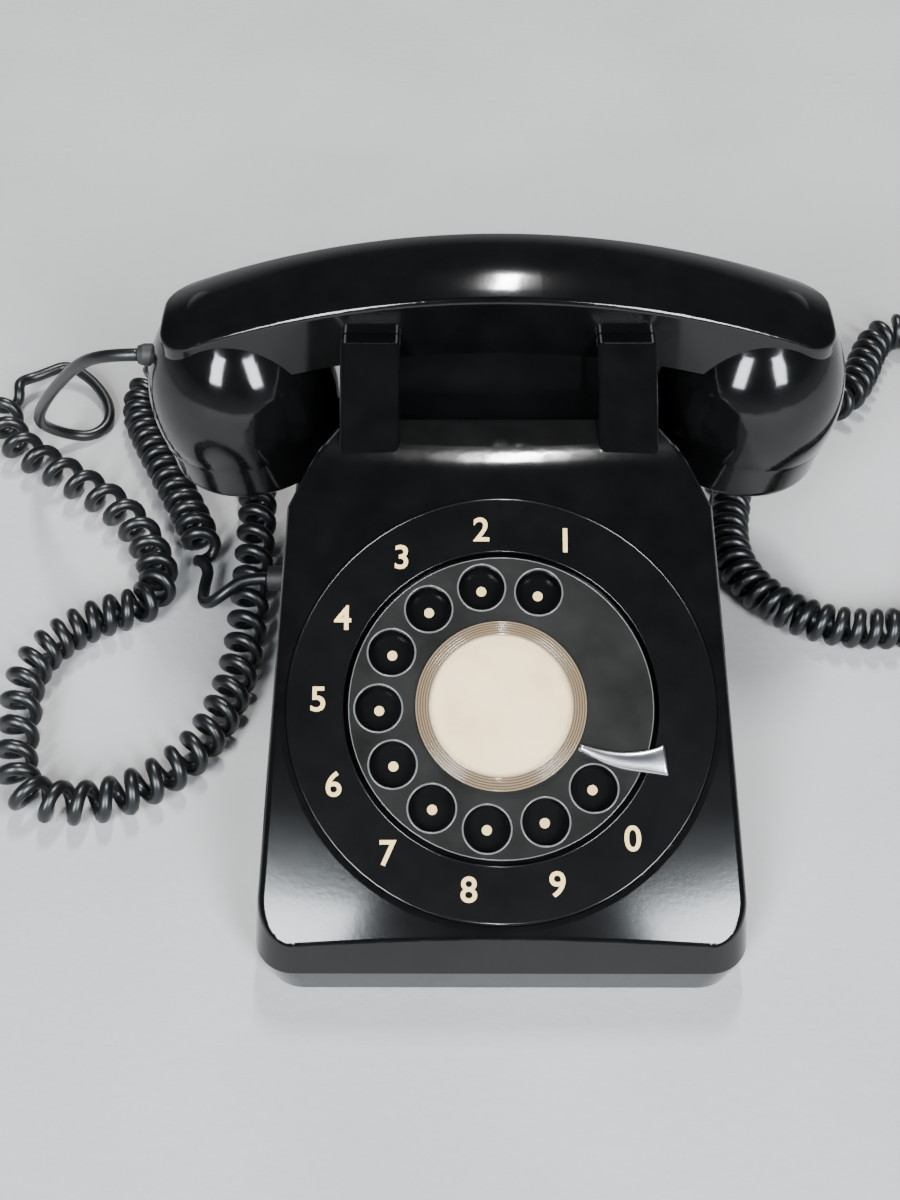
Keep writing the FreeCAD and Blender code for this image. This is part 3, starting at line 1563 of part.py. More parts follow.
def curly_cord(name, route, curls):
    """A wire wound round a route on the table, plain and straight for one diameter at each end."""
    poles = [Vector(x, y, COIL_Z) for x, y in route]
    degree = 2
    inner = len(poles) - degree - 1
    line = Part.BSplineCurve()
    knots = list(range(inner + 2))
    line.buildFromPolesMultsKnots(poles, [degree + 1] + [1] * inner + [degree + 1], knots, False, degree)
    length = line.length()
    wire = S.wire.value
    mean_radius = (S.curl_outside.value - wire) / 2
    wound = length - 2 * wire

    def spot(turn):
        """The wire's middle after a number of turns."""
        along = wire + wound * turn / curls
        at = line.parameterAtDistance(along, line.FirstParameter)
        middle = line.value(at)
        heading = Vector(*line.tangent(at)[0])
        side = heading.cross(Z_AXIS).normalize()
        ramp = max(0.0, min(1.0, turn, curls - turn))
        radius = mean_radius * ramp * ramp * (3 - 2 * ramp)
        angle = 2 * math.pi * turn
        return middle + side * (radius * math.sin(angle)) - Z_AXIS * (radius * math.cos(angle))

    def heading_at(turn):
        step = 0.002
        low = max(0.0, turn - step)
        high = min(float(curls), turn + step)
        return (spot(high) - spot(low)).normalize()

    quarters = [count / 4 for count in range(4 * curls + 1)]
    points = [spot(turn) for turn in quarters]
    headings = [heading_at(turn) for turn in quarters]
    edges = [Part.LineSegment(poles[0], points[0]).toShape()]
    for count in range(4 * curls):
        edges += biarc(points[count], headings[count], points[count + 1], headings[count + 1])
    edges.append(Part.LineSegment(points[-1], poles[-1]).toShape())
    print(name, "least gap to itself %.2f" % least_gap(edges, wire))
    return swept(name, edges)


def least_gap(edges, wire):
    """The least clear distance between two places of a wire over half a turn apart."""
    per_edge = 3
    apart = 4 * per_edge
    points = []
    for edge in edges:
        points += edge.discretize(per_edge + 1)[:-1]
    best = math.inf
    for i, here in enumerate(points):
        for there in points[i + apart:]:
            if abs(there.x - here.x) < best and abs(there.y - here.y) < best:
                best = min(best, (there - here).Length)
    return best - wire


def make_cords():
    cord_tube("handset_cord_lead", [GROMMET_END] + HANDSET_LEAD)
    curly_cord("handset_cord_curls", HANDSET_CURL_ROUTE, HANDSET_CURLS)
    cord_tube("handset_cord_tail", HANDSET_TAIL + [HANDSET_GLAND_END])
    cord_tube("line_cord_lead", [LINE_GLAND_END] + LINE_LEAD)
    curly_cord("line_cord_curls", LINE_CURL_ROUTE, LINE_CURLS)
    cord_tube("line_cord_end", LINE_END)


def make_plug():
    """A small wall plug on the line cord, lying on the table behind the receiver."""
    x, y, z = LINE_END[-1]
    half = S.plug_width / 2
    low = S.floor_gap
    back = y + S.plug_length
    block = outline(
        "plug_outline",
        [
            (x - S.plug_neck, y),
            (x + S.plug_neck, y),
            (x + half, y + S.plug_neck),
            (x + half, back),
            (x - half, back),
            (x - half, y + S.plug_neck),
        ],
    )
    body = extruded("plug_body", block, S.plug_height, z=low)
    node(body, "line_plug")
    pins = []
    for side, sign in SIDES.items():
        middle = x + sign * half / 2
        width = S.plug_pin_width / 2
        level = low + S.plug_height / 2
        pins.append(
            box(
                "plug_pin_" + side,
                (middle - width, middle + width),
                (back, back + S.plug_pin_length),
                (level - width / 2, level + width / 2),
            )
        )
    node(group("plug_pins", *pins), "plug_pins")


make_cords()
make_plug()

doc.recompute()
for thing in doc.Objects:
    if "Invalid" in thing.State or "Error" in thing.State:
        raise RuntimeError("%s failed: %s" % (thing.Name, thing.State))
for thing in nodes:
    if thing.Shape.isNull() or not thing.Shape.isValid():
        raise RuntimeError("%s has no valid shape" % thing.Label)
os.makedirs("parts", exist_ok=True)
for thing in nodes:
    thing.Shape.exportStep("parts/%s.step" % thing.Label)
print(len(nodes), "sub-parts written")
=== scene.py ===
import json
import math

import bmesh
import bpy
from mathutils import Matrix, Vector


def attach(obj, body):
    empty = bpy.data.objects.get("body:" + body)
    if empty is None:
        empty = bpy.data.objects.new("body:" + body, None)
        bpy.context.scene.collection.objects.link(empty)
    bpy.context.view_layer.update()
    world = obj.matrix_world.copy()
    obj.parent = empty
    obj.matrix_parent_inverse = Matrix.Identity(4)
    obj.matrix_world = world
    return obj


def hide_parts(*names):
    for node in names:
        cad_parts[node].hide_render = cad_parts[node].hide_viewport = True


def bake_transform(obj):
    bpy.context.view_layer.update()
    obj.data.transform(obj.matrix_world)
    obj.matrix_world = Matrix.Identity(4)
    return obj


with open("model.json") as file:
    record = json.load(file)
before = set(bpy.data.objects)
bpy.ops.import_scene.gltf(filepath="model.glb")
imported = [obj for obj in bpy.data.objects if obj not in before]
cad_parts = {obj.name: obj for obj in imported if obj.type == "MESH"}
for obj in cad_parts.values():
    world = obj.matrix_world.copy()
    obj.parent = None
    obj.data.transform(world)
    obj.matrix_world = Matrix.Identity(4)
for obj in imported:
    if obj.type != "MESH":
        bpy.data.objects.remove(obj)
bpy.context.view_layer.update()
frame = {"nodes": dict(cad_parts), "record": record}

MM = 0.001
nodes = frame["nodes"]
scene = bpy.context.scene

# Sizes of the object, in millimetres and degrees
DIAL_Y = -46.0
DIAL_Z = 59.8
DIAL_SLOPE = 28.0
RING_RADIUS = 64.0
RING_BORE = 47.0
RING_TOP = 0.6
RING_BEAD = 0.9
RING_BEAD_SINK = 0.35
RING_BEAD_INSET = 0.4
BORE_BEAD = 0.6
BORE_BEAD_SINK = 0.25
BORE_BEAD_INSET = 0.3
WHEEL_RADIUS = 45.5
WHEEL_TOP = 0.4
WHEEL_RIM = 0.36
WHEEL_RIM_SINK = 0.12
WHEEL_RIM_INSET = 0.2
HOLES = 10
HOLE_RADIUS = 6.9
HOLE_CIRCLE = 36.5
HOLE_RIM = 0.6
HOLE_RIM_SINK = 0.1
HOLE_RIM_INSET = 0.3
FIRST_HOLE = 71.5
HOLE_STEP = 27.4
CARD_TOP = 0.7
COVER_TOP = 2.8
COVER_DOME = 1.2
COVER_RADIUS = 25.5
CARD_SEAT = 23.6
GROOVES = 5
FIRST_GROOVE = 21.7
GROOVE_STEP = 0.78
STOP_LOW = 0.9
STOP_TOP = 2.3
STOP_EDGE = 0.35
WIRE = 4.4
CURL_OUTSIDE = 15.0
CURL_GAP = 0.6
COIL_Z = 7.7
WIRE_Z = 2.4

DIAL_LEAN = Matrix.Rotation(math.radians(DIAL_SLOPE), 4, "X")
DIAL = Matrix.Translation((0, DIAL_Y * MM, DIAL_Z * MM)) @ DIAL_LEAN


# Camera

def make_camera():
    place = Vector((-12.59, -311.13, 420.03)) * MM
    pitch = math.radians(49.6)
    yaw = math.radians(-0.51)
    roll = math.radians(-0.39)
    reach = math.cos(pitch)
    ahead = Vector((math.sin(yaw) * reach, math.cos(yaw) * reach, -math.sin(pitch)))
    level = Vector((math.cos(yaw), -math.sin(yaw), 0))
    rise = level.cross(ahead)
    right = level * math.cos(roll) + rise * math.sin(roll)
    up = rise * math.cos(roll) - level * math.sin(roll)
    turn = Matrix((right, up, -ahead)).transposed().to_4x4()
    data = bpy.data.cameras.new("camera")
    data.lens = 45.0
    data.sensor_width = 36.0
    data.clip_start = 0.01
    camera = bpy.data.objects.new("camera", data)
    camera.matrix_world = Matrix.Translation(place) @ turn
    scene.collection.objects.link(camera)
    scene.camera = camera


make_camera()


# Materials

class Shader:
    """A node material built round one Principled shader."""

    def __init__(self, name, color, roughness, **sockets):
        self.material = bpy.data.materials.new(name)
        self.material.use_nodes = True
        self.tree = self.material.node_tree
        self.principled = self.tree.nodes["Principled BSDF"]
        self.set("Base Color", (*color, 1.0))
        self.set("Roughness", roughness)
        for socket, value in sockets.items():
            self.set(socket.replace("_", " "), value)

    def set(self, socket, value):
        self.principled.inputs[socket].default_value = value

    def add(self, kind, **values):
        node = self.tree.nodes.new(kind)
        for name, value in values.items():
            if name in node.inputs:
                node.inputs[name].default_value = value
            else:
                setattr(node, name, value)
        return node

    def link(self, start, end):
        self.tree.links.new(start, end)

    def place(self):
        return self.add("ShaderNodeTexCoord").outputs["Object"]

    def noise(self, scale, detail=3.0, stretch=None):
        """Noise in the object's own frame; stretch packs it closer along an axis."""
        spot = self.place()
        if stretch:
            mapping = self.add("ShaderNodeMapping")
            mapping.inputs["Scale"].default_value = stretch
            self.link(spot, mapping.inputs["Vector"])
            spot = mapping.outputs["Vector"]
        cloud = self.add("ShaderNodeTexNoise", Scale=scale, Detail=detail)
        self.link(spot, cloud.inputs["Vector"])
        return cloud.outputs["Fac"]

    def ramp(self, factor, stops):
        node = self.add("ShaderNodeValToRGB")
        ramp = node.color_ramp
        while len(ramp.elements) < len(stops):
            ramp.elements.new(0.5)
        for element, (position, color) in zip(ramp.elements, stops):
            element.position = position
            element.color = (*color, 1.0)
        self.link(factor, node.inputs["Fac"])
        return node.outputs["Color"]

    def vary_roughness(self, factor, low, high):
        span = self.add("ShaderNodeMapRange")
        span.inputs["To Min"].default_value = low
        span.inputs["To Max"].default_value = high
        self.link(factor, span.inputs["Value"])
        self.link(span.outputs["Result"], self.principled.inputs["Roughness"])

    def tint(self, factor, stops):
        self.link(self.ramp(factor, stops), self.principled.inputs["Base Color"])

    def bump(self, factor, strength, distance):
        node = self.add("ShaderNodeBump")
        node.inputs["Strength"].default_value = strength
        node.inputs["Distance"].default_value = distance
        self.link(factor, node.inputs["Height"])
        self.link(node.outputs["Normal"], self.principled.inputs["Normal"])


FINE_BUMP = 0.0002


def grey(level):
    return (level, level, level)


def black_plastic(name, level, low, high):
    """Polished black plastic; its roughness runs from low to high."""
    shader = Shader(name, (level, level, level * 1.08), low, Coat_Weight=0.1, Coat_Roughness=0.05)
    shader.set("Specular IOR Level", 0.4)
    cloud = shader.noise(38.0, 5.0)
    shader.vary_roughness(cloud, low, high)
    dark = (level * 0.8, level * 0.8, level * 0.86)
    shader.tint(shader.noise(90.0, 4.0), [(0.3, dark), (0.75, grey(level * 1.5))])
    shader.bump(shader.noise(600.0, 3.0), 0.03, FINE_BUMP)
    return shader.material


def metal(name, color, roughness, brushed=None):
    """Bare metal, darker in places; brushed draws its grain out along an axis."""
    shader = Shader(name, color, roughness, Metallic=1.0)
    cloud = shader.noise(160.0, 4.0, brushed)
    shader.vary_roughness(cloud, roughness * 0.7, roughness * 1.5)
    dark = tuple(c * 0.78 for c in color)
    shader.tint(shader.noise(70.0, 5.0, brushed), [(0.25, dark), (0.7, color)])
    shader.bump(cloud, 0.08, FINE_BUMP)
    return shader.material


def satin(name, color, roughness, scale=220.0, bump=0.15):
    """Paint, rubber or dull plastic with a fine grain."""
    shader = Shader(name, color, roughness)
    cloud = shader.noise(scale, 6.0)
    shader.vary_roughness(cloud, roughness * 0.85, min(1.0, roughness * 1.2))
    shader.tint(shader.noise(60.0, 4.0), [(0.25, tuple(c * 0.8 for c in color)), (0.75, color)])
    shader.bump(cloud, bump, FINE_BUMP)
    return shader.material


def smoked_plastic():
    """Clear plastic with a grey haze."""
    shader = Shader("clear_wheel", grey(0.06), 0.12, Transmission_Weight=0.4, IOR=1.49)
    shader.vary_roughness(shader.noise(120.0, 5.0, (1, 1, 6)), 0.07, 0.18)
    dark = (0.013, 0.0128, 0.012)
    light = (0.032, 0.0316, 0.030)
    shader.tint(shader.noise(45.0, 5.0), [(0.3, dark), (0.7, light)])
    shader.bump(shader.noise(420.0, 4.0), 0.04, FINE_BUMP)
    return shader.material


def grooved_cover():
    """Clear plastic, brown with age where grooves run round its edge; each groove is darkened with painted
    shade.
    """
    shader = Shader("clear_cover", (0.5, 0.4, 0.3), 0.12, IOR=1.49)
    to_dial = DIAL.inverted()
    spot = shader.add("ShaderNodeMapping")
    spot.inputs["Location"].default_value = to_dial.to_translation()
    spot.inputs["Rotation"].default_value = to_dial.to_euler()
    shader.link(shader.place(), spot.inputs["Vector"])
    flat = shader.add("ShaderNodeVectorMath", operation="MULTIPLY")
    flat.inputs[1].default_value = (1, 1, 0)
    shader.link(spot.outputs["Vector"], flat.inputs[0])
    radius = shader.add("ShaderNodeVectorMath", operation="LENGTH")
    shader.link(flat.outputs["Vector"], radius.inputs[0])
    low = FIRST_GROOVE - GROOVE_STEP
    high = FIRST_GROOVE + GROOVES * GROOVE_STEP
    edge = shader.add("ShaderNodeMapRange")
    edge.inputs["From Min"].default_value = low * MM
    edge.inputs["From Max"].default_value = high * MM
    shader.link(radius.outputs["Value"], edge.inputs["Value"])
    # Each groove is painted darker and less see-through than the crests: painted shade in the grooves. The
    # brown of the crests is the cover's own colour.
    groove_shade_color = (0.055, 0.034, 0.018)
    crest_color = (0.26, 0.19, 0.12)
    colors = [(0.0, (0.62, 0.50, 0.37))]
    cover = [(0.0, grey(0.03))]
    for groove in range(GROOVES):
        middle = (FIRST_GROOVE + groove * GROOVE_STEP - low) / (high - low)
        crest = (FIRST_GROOVE + (groove + 0.5) * GROOVE_STEP - low) / (high - low)
        colors += [(middle, groove_shade_color), (crest, crest_color)]
        cover += [(middle, grey(0.88)), (crest, grey(0.7))]
    color = shader.ramp(edge.outputs["Result"], colors)
    shader.link(color, shader.principled.inputs["Base Color"])
    opacity = shader.ramp(edge.outputs["Result"], cover)
    shader.link(opacity, shader.principled.inputs["Alpha"])
    shader.vary_roughness(shader.noise(150.0, 5.0), 0.06, 0.2)
    shader.bump(shader.noise(500.0, 3.0), 0.03, FINE_BUMP)
    return shader.material


def aged_card():
    """Cream card, browner in places."""
    stain = (0.58, 0.40, 0.20)
    cream = (0.76, 0.56, 0.31)
    pale = (0.80, 0.62, 0.37)
    shader = Shader("card", cream, 0.75)
    shader.tint(shader.noise(55.0, 6.0), [(0.2, stain), (0.42, cream), (0.8, pale)])
    shader.bump(shader.noise(900.0, 2.0), 0.2, 0.0001)
    return shader.material


SLOT_MATERIALS = {
    "black_shell": black_plastic("black_shell", 0.002, 0.07, 0.15),
    "black_cap": black_plastic("black_cap", 0.0024, 0.09, 0.18),
    "black_ring": black_plastic("black_ring", 0.0022, 0.12, 0.20),
    "clear_wheel": smoked_plastic(),
    "clear_cover": grooved_cover(),
    "card": aged_card(),
    "cream_paint": satin("cream_paint", (0.82, 0.57, 0.23), 0.6),
    "chrome_stop": metal("chrome_stop", (0.74, 0.73, 0.76), 0.22),
    "plated_steel": metal("plated_steel", (0.60, 0.59, 0.56), 0.30, (1, 8, 1)),
    "brass_wheel": metal("brass_wheel", (0.72, 0.53, 0.24), 0.26),
    "bell_metal": metal("bell_metal", (0.74, 0.57, 0.30), 0.18),
    "steel_pin": metal("steel_pin", (0.58, 0.58, 0.58), 0.24),
    "nylon": satin("nylon", (0.74, 0.71, 0.63), 0.5),
    "phenolic": satin("phenolic", (0.14, 0.075, 0.035), 0.42),
    "copper_coil": metal("copper_coil", (0.62, 0.28, 0.12), 0.35, (20, 1, 1)),
    "contact_metal": metal("contact_metal", (0.72, 0.62, 0.42), 0.28),
    "rubber_black": satin("rubber_black", (0.012, 0.012, 0.012), 0.6),
    "cord_black": satin("cord_black", (0.004, 0.0045, 0.005), 0.34, 500.0, 0.1),
    "capsule_metal": metal("capsule_metal", (0.70, 0.70, 0.71), 0.3),
    "painted_plate": satin("painted_plate", (0.02, 0.02, 0.02), 0.45),
}
for entry in frame["record"]["subparts"]:
    data = nodes[entry["node"]].data
    data.materials.clear()
    data.materials.append(SLOT_MATERIALS[entry["material_slot"]])


def new_piece(name, mesh, slot, body=None):
    """A new piece of a slot's finish, riding on a body."""
    piece = bpy.data.objects.new(name, mesh)
    scene.collection.objects.link(piece)
    mesh.materials.append(SLOT_MATERIALS[slot])
    if body:
        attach(piece, body)
    return piece


def spline_points(controls, scale, resolution):
    """Points along the smooth line that control points guide."""
    curve = bpy.data.curves.new("guide", "CURVE")
    curve.dimensions = "3D"
    spline = curve.splines.new("NURBS")
    spline.points.add(len(controls) - 1)
    for point, control in zip(spline.points, controls):
        point.co = (*(Vector(control) * scale), 1.0)
    spline.order_u = 3
    spline.use_endpoint_u = True
    spline.resolution_u = resolution
    guide = bpy.data.objects.new("guide", curve)
    scene.collection.objects.link(guide)
    mesh = bpy.data.meshes.new_from_object(guide)
    points = [vertex.co.copy() for vertex in mesh.vertices]
    bpy.data.objects.remove(guide)
    bpy.data.curves.remove(curve)
    bpy.data.meshes.remove(mesh)
    return points


# Dial detail

def ring_mesh(name, rings):
    """Rounded rings in the dial's frame, each (x, y, z, radius, thickness) in millimetres."""
    mesh = bpy.data.meshes.new(name)
    form = bmesh.new()
    around = 72
    sides = 10
    for x, y, z, radius, thickness in rings:
        loops = []
        for i in range(around):
            turn = 2 * math.pi * i / around
            loop = []
            for k in range(sides):
                lean = 2 * math.pi * k / sides
                reach = radius + thickness / 2 * math.cos(lean)
                rise = z + thickness / 2 * math.sin(lean)
                spot = Vector((x + reach * math.cos(turn), y + reach * math.sin(turn), rise))
                loop.append(form.verts.new(DIAL @ (spot * MM)))
            loops.append(loop)
        for first, second in zip(loops, loops[1:] + loops[:1]):
            for k in range(sides):
                after = (k + 1) % sides
                form.faces.new((first[k], second[k], second[after], first[after]))
    for face in form.faces:
        face.smooth = True
    form.to_mesh(mesh)
    form.free()
    return mesh


def make_rims():
    """Fine beads on the number ring, and rims on the wheel and its holes, the rims painted lighter than the
    wheel as a highlight.
    """
    beads = [
        (0, 0, RING_TOP - RING_BEAD_SINK, RING_RADIUS - RING_BEAD_INSET, RING_BEAD),
        (0, 0, RING_TOP - BORE_BEAD_SINK, RING_BORE + BORE_BEAD_INSET, BORE_BEAD),
    ]
    new_piece("ring_beads", ring_mesh("ring_beads", beads), "black_ring", "base")
    rims = [(0, 0, WHEEL_TOP - WHEEL_RIM_SINK, WHEEL_RADIUS - WHEEL_RIM_INSET, WHEEL_RIM)]
    for hole in range(HOLES):
        angle = math.radians(FIRST_HOLE + HOLE_STEP * hole)
        x = HOLE_CIRCLE * math.cos(angle)
        y = HOLE_CIRCLE * math.sin(angle)
        rims.append((x, y, WHEEL_TOP - HOLE_RIM_SINK, HOLE_RADIUS + HOLE_RIM_INSET, HOLE_RIM))
    wheel_rims = new_piece("wheel_rims", ring_mesh("wheel_rims", rims), "clear_wheel", "dial")
    # The rims get a lighter grey than the clear wheel: a painted highlight along the edges of the wheel and
    # its holes.
    wheel_rims.data.materials[0] = satin("painted_highlight_rim", (0.11, 0.112, 0.11), 0.2, 120.0, 0.03)


def make_digits():
    """Raised figures upright round the number ring."""
    circle = 54.5
    first = 68.7
    step = 27.3
    tall = 7.5
    mesh = bpy.data.meshes.new("dial_digits")
    form = bmesh.new()
    for count, digit in enumerate("1234567890"):
        text = bpy.data.curves.new("digit", "FONT")
        text.body = digit
        text.align_x = "CENTER"
        text.align_y = "CENTER"
        text.size = 1.0
        text.extrude = 0.008
        text.offset = 0.014
        figure = bpy.data.objects.new("digit", text)
        scene.collection.objects.link(figure)
        piece = bpy.data.meshes.new_from_object(figure)
        bpy.data.objects.remove(figure)
        bpy.data.curves.remove(text)
        corners = [vertex.co for vertex in piece.vertices]
        low = Vector([min(c[axis] for c in corners) for axis in range(3)])
        high = Vector([max(c[axis] for c in corners) for axis in range(3)])
        scale = tall * MM / (high.y - low.y)
        angle = math.radians(first + step * count)
        spot = Vector((circle * math.cos(angle), circle * math.sin(angle), RING_TOP)) * MM
        centred = Matrix.Scale(scale, 4) @ Matrix.Translation(-(low + high) / 2)
        piece.transform(DIAL @ Matrix.Translation(spot) @ centred)
        form.from_mesh(piece)
        bpy.data.meshes.remove(piece)
    form.to_mesh(mesh)
    form.free()
    new_piece("dial_digits", mesh, "cream_paint", "base")


def make_cover():
    """The clear cover over the card, with fine grooves round its edge."""
    lift = 0.02
    side = COVER_RADIUS - 0.05
    rim = COVER_TOP - COVER_DOME
    seat = WHEEL_TOP + lift
    profile = [(CARD_SEAT, CARD_TOP + lift), (CARD_SEAT, seat), (side, seat), (side, rim)]
    groove_form = ((0.5, 0.0), (0.2, 0.12), (0.0, 0.26), (-0.2, 0.12))
    inner = FIRST_GROOVE - GROOVE_STEP
    for groove in reversed(range(GROOVES)):
        for place, sink in groove_form:
            radius = FIRST_GROOVE + (groove + place) * GROOVE_STEP
            share = (COVER_RADIUS - radius) / (COVER_RADIUS - inner)
            profile.append((radius, rim + COVER_DOME * share * (2 - share) - sink))
    profile.append((inner, COVER_TOP))
    mesh = bpy.data.meshes.new("cover")
    form = bmesh.new()
    around = 128
    loops = []
    for radius, rise in profile:
        loop = []
        for i in range(around):
            turn = 2 * math.pi * i / around
            spot = Vector((radius * math.cos(turn), radius * math.sin(turn), rise))
            loop.append(form.verts.new(DIAL @ (spot * MM)))
        loops.append(loop)
    for first, second in zip(loops, loops[1:]):
        for i in range(around):
            after = (i + 1) % around
            face = form.faces.new((first[i], first[after], second[after], second[i]))
            face.smooth = True
    form.faces.new(loops[-1])
    form.faces.new(list(reversed(loops[0])))
    form.to_mesh(mesh)
    form.free()
    cover = new_piece("grooved_cover", mesh, "clear_cover", "dial")
    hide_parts("card_cover")


def make_stop():
    """The bright hook: a crowned blade that narrows to its tip, with a foot on the ring."""
    stations = [
        (51.0, -18.6, 4.7), (47.5, -20.6, 3.5), (40.0, -24.6, 2.6), (32.0, -27.4, 1.7), (26.0, -28.0, 0.9),
    ]
    crown = 8
    foot = 0.92
    controls = []
    for radius, angle, half in stations:
        turn = math.radians(angle)
        controls.append((radius * math.cos(turn), radius * math.sin(turn), half))
    points = spline_points(controls, 1.0, 8)
    mesh = bpy.data.meshes.new("stop")
    form = bmesh.new()
    loops = []
    for i, point in enumerate(points):
        ahead = points[min(i + 1, len(points) - 1)] - points[max(i - 1, 0)]
        side = Vector((-ahead.y, ahead.x, 0)).normalized()
        half = point.z
        middle = Vector((point.x, point.y, 0))
        low = RING_TOP if middle.length > RING_BORE + 1.5 else STOP_LOW
        loop = []
        for k in range(crown + 1):
            lean = math.pi * k / crown
            rise = STOP_LOW + STOP_EDGE + (STOP_TOP - STOP_LOW - STOP_EDGE) * math.sin(lean)
            spot = middle + side * (half * math.cos(lean)) + Vector((0, 0, rise))
            loop.append(form.verts.new(DIAL @ (spot * MM)))
        for across in (-foot, foot):
            spot = middle + side * (half * across) + Vector((0, 0, low))
            loop.append(form.verts.new(DIAL @ (spot * MM)))
        loops.append(loop)
    for first, second in zip(loops, loops[1:]):
        for k in range(len(first)):
            after = (k + 1) % len(first)
            face = form.faces.new((first[k], first[after], second[after], second[k]))
            face.smooth = k < crown
    form.faces.new(list(reversed(loops[0])))
    form.faces.new(loops[-1])
    bmesh.ops.recalc_face_normals(form, faces=form.faces)
    form.to_mesh(mesh)
    form.free()
    stop = new_piece("stop_hook", mesh, "chrome_stop", "base")
    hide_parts("finger_stop")


make_rims()
make_digits()
make_cover()
make_stop()


# Cords

HANDSET_LEAD = [
    (-120.2, 78, 90),
    (-130, 78, 90),
    (-142, 84, 82),
    (-154, 93.5, 65),
    (-164, 102, 49),
    (-171.5, 110.5, 34),
    (-175.5, 119, 21),
    (-174, 126, 11),
    (-168.5, 129.5, 4.8),
    (-161, 131, WIRE_Z),
    (-155.5, 136.5, WIRE_Z),
    (-155, 145, 2.6),
    (-158.5, 154, 3.6),
    (-166, 163, 5.4),
    (-175.5, 169, 7.4),
]
HANDSET_CURL_ROUTE = [
    (-183, 164), (-192, 158), (-197, 146), (-195, 131), (-185, 118), (-172, 108), (-158, 98), (-145, 88),
    (-134, 76), (-126, 62), (-121, 48), (-126, 37), (-138, 33), (-150, 26), (-160, 14), (-163, 0),
    (-161, -15), (-160, -30), (-155, -43), (-142, -47), (-127, -46), (-113, -39), (-101, -28), (-94, -14),
    (-90, 1), (-88, 17), (-88, 34), (-88, 51), (-88.5, 68), (-89, 85), (-91, 102), (-95, 119),
    (-101, 136), (-109, 152), (-121, 163), (-135, 163), (-142, 152), (-141, 137), (-135, 123), (-128, 109),
    (-121, 95), (-114, 81), (-108, 67), (-105, 54), (-105, 45),
]
HANDSET_TAIL = [
    (-104.7, 38, 9.2),
    (-101, 33, 13.6),
    (-95, 34.5, 18.2),
    (-88.5, 39, 20.5),
    (-80, 39, 20.5),
]
# Share of the curled run, and the room that each curl takes there
HANDSET_PITCH = [
    (0.0, 12.0), (0.18, 11.5), (0.24, 7.0), (0.29, 6.0), (0.34, 10.5), (0.40, 9.0), (0.46, 7.8), (0.52, 9.0),
    (0.57, 10.5), (0.64, 10.5), (0.68, 6.5), (0.72, 5.5), (0.86, 5.5), (0.93, 7.0), (1.0, 6.0),
]
LINE_PITCH = [(0.0, 5.8), (0.4, 6.0), (0.6, 6.8), (1.0, 6.0)]
LINE_LEAD = [
    (45, 117, 12),
    (45, 125, 12),
    (51, 132, 10.4),
    (60, 133, 8.6),
    (70, 131, 7.9),
]
LINE_CURL_ROUTE = [
    (79, 126), (87, 118), (92, 106), (92.5, 92), (89, 78), (88, 62), (93, 47), (104, 35), (118, 28),
    (133, 26), (148, 27), (161, 34), (170, 46), (176, 61), (180, 78), (183, 96), (185, 114), (187, 132),
    (188.5, 150), (189.5, 167), (187.5, 182), (178.5, 191), (166.5, 188), (159, 176), (153.5, 162),
    (146, 149), (135.5, 139), (124, 132),
]
LINE_END = [
    (115, 129.5, 6.4),
    (106.5, 131.5, 5.8),
    (99, 138, 5.8),
    (99, 146, 5.8),
]


class Line:
    """A line through points, read by the distance along it."""

    def __init__(self, points):
        self.points = points
        self.marks = [0.0]
        for here, there in zip(points, points[1:]):
            self.marks.append(self.marks[-1] + (there - here).length)
        self.length = self.marks[-1]
        self.index = 0

    def at(self, distance):
        distance = max(0.0, min(self.length, distance))
        low = self.index
        if self.marks[low] > distance:
            low = 0
        while low < len(self.points) - 2 and self.marks[low + 1] < distance:
            low += 1
        self.index = low
        share = (distance - self.marks[low]) / (self.marks[low + 1] - self.marks[low])
        return self.points[low].lerp(self.points[low + 1], share)

    def heading(self, distance, reach=0.0015):
        return (self.at(distance + reach) - self.at(distance - reach)).normalized()

    def bend(self, distance, reach=0.006):
        """How sharply the line turns, per metre, over a short reach each way."""
        before = self.heading(distance - reach)
        after = self.heading(distance + reach)
        return before.angle(after) / (2 * reach)

    def nearest(self, spot):
        gaps = [(point - spot).length for point in self.points]
        return self.marks[gaps.index(min(gaps))]


def between(table, share):
    """What a table of (share, value) gives at a share."""
    for (low, first), (high, second) in zip(table, table[1:]):
        if share <= high:
            return first + (second - first) * (share - low) / (high - low)
    return table[-1][1]


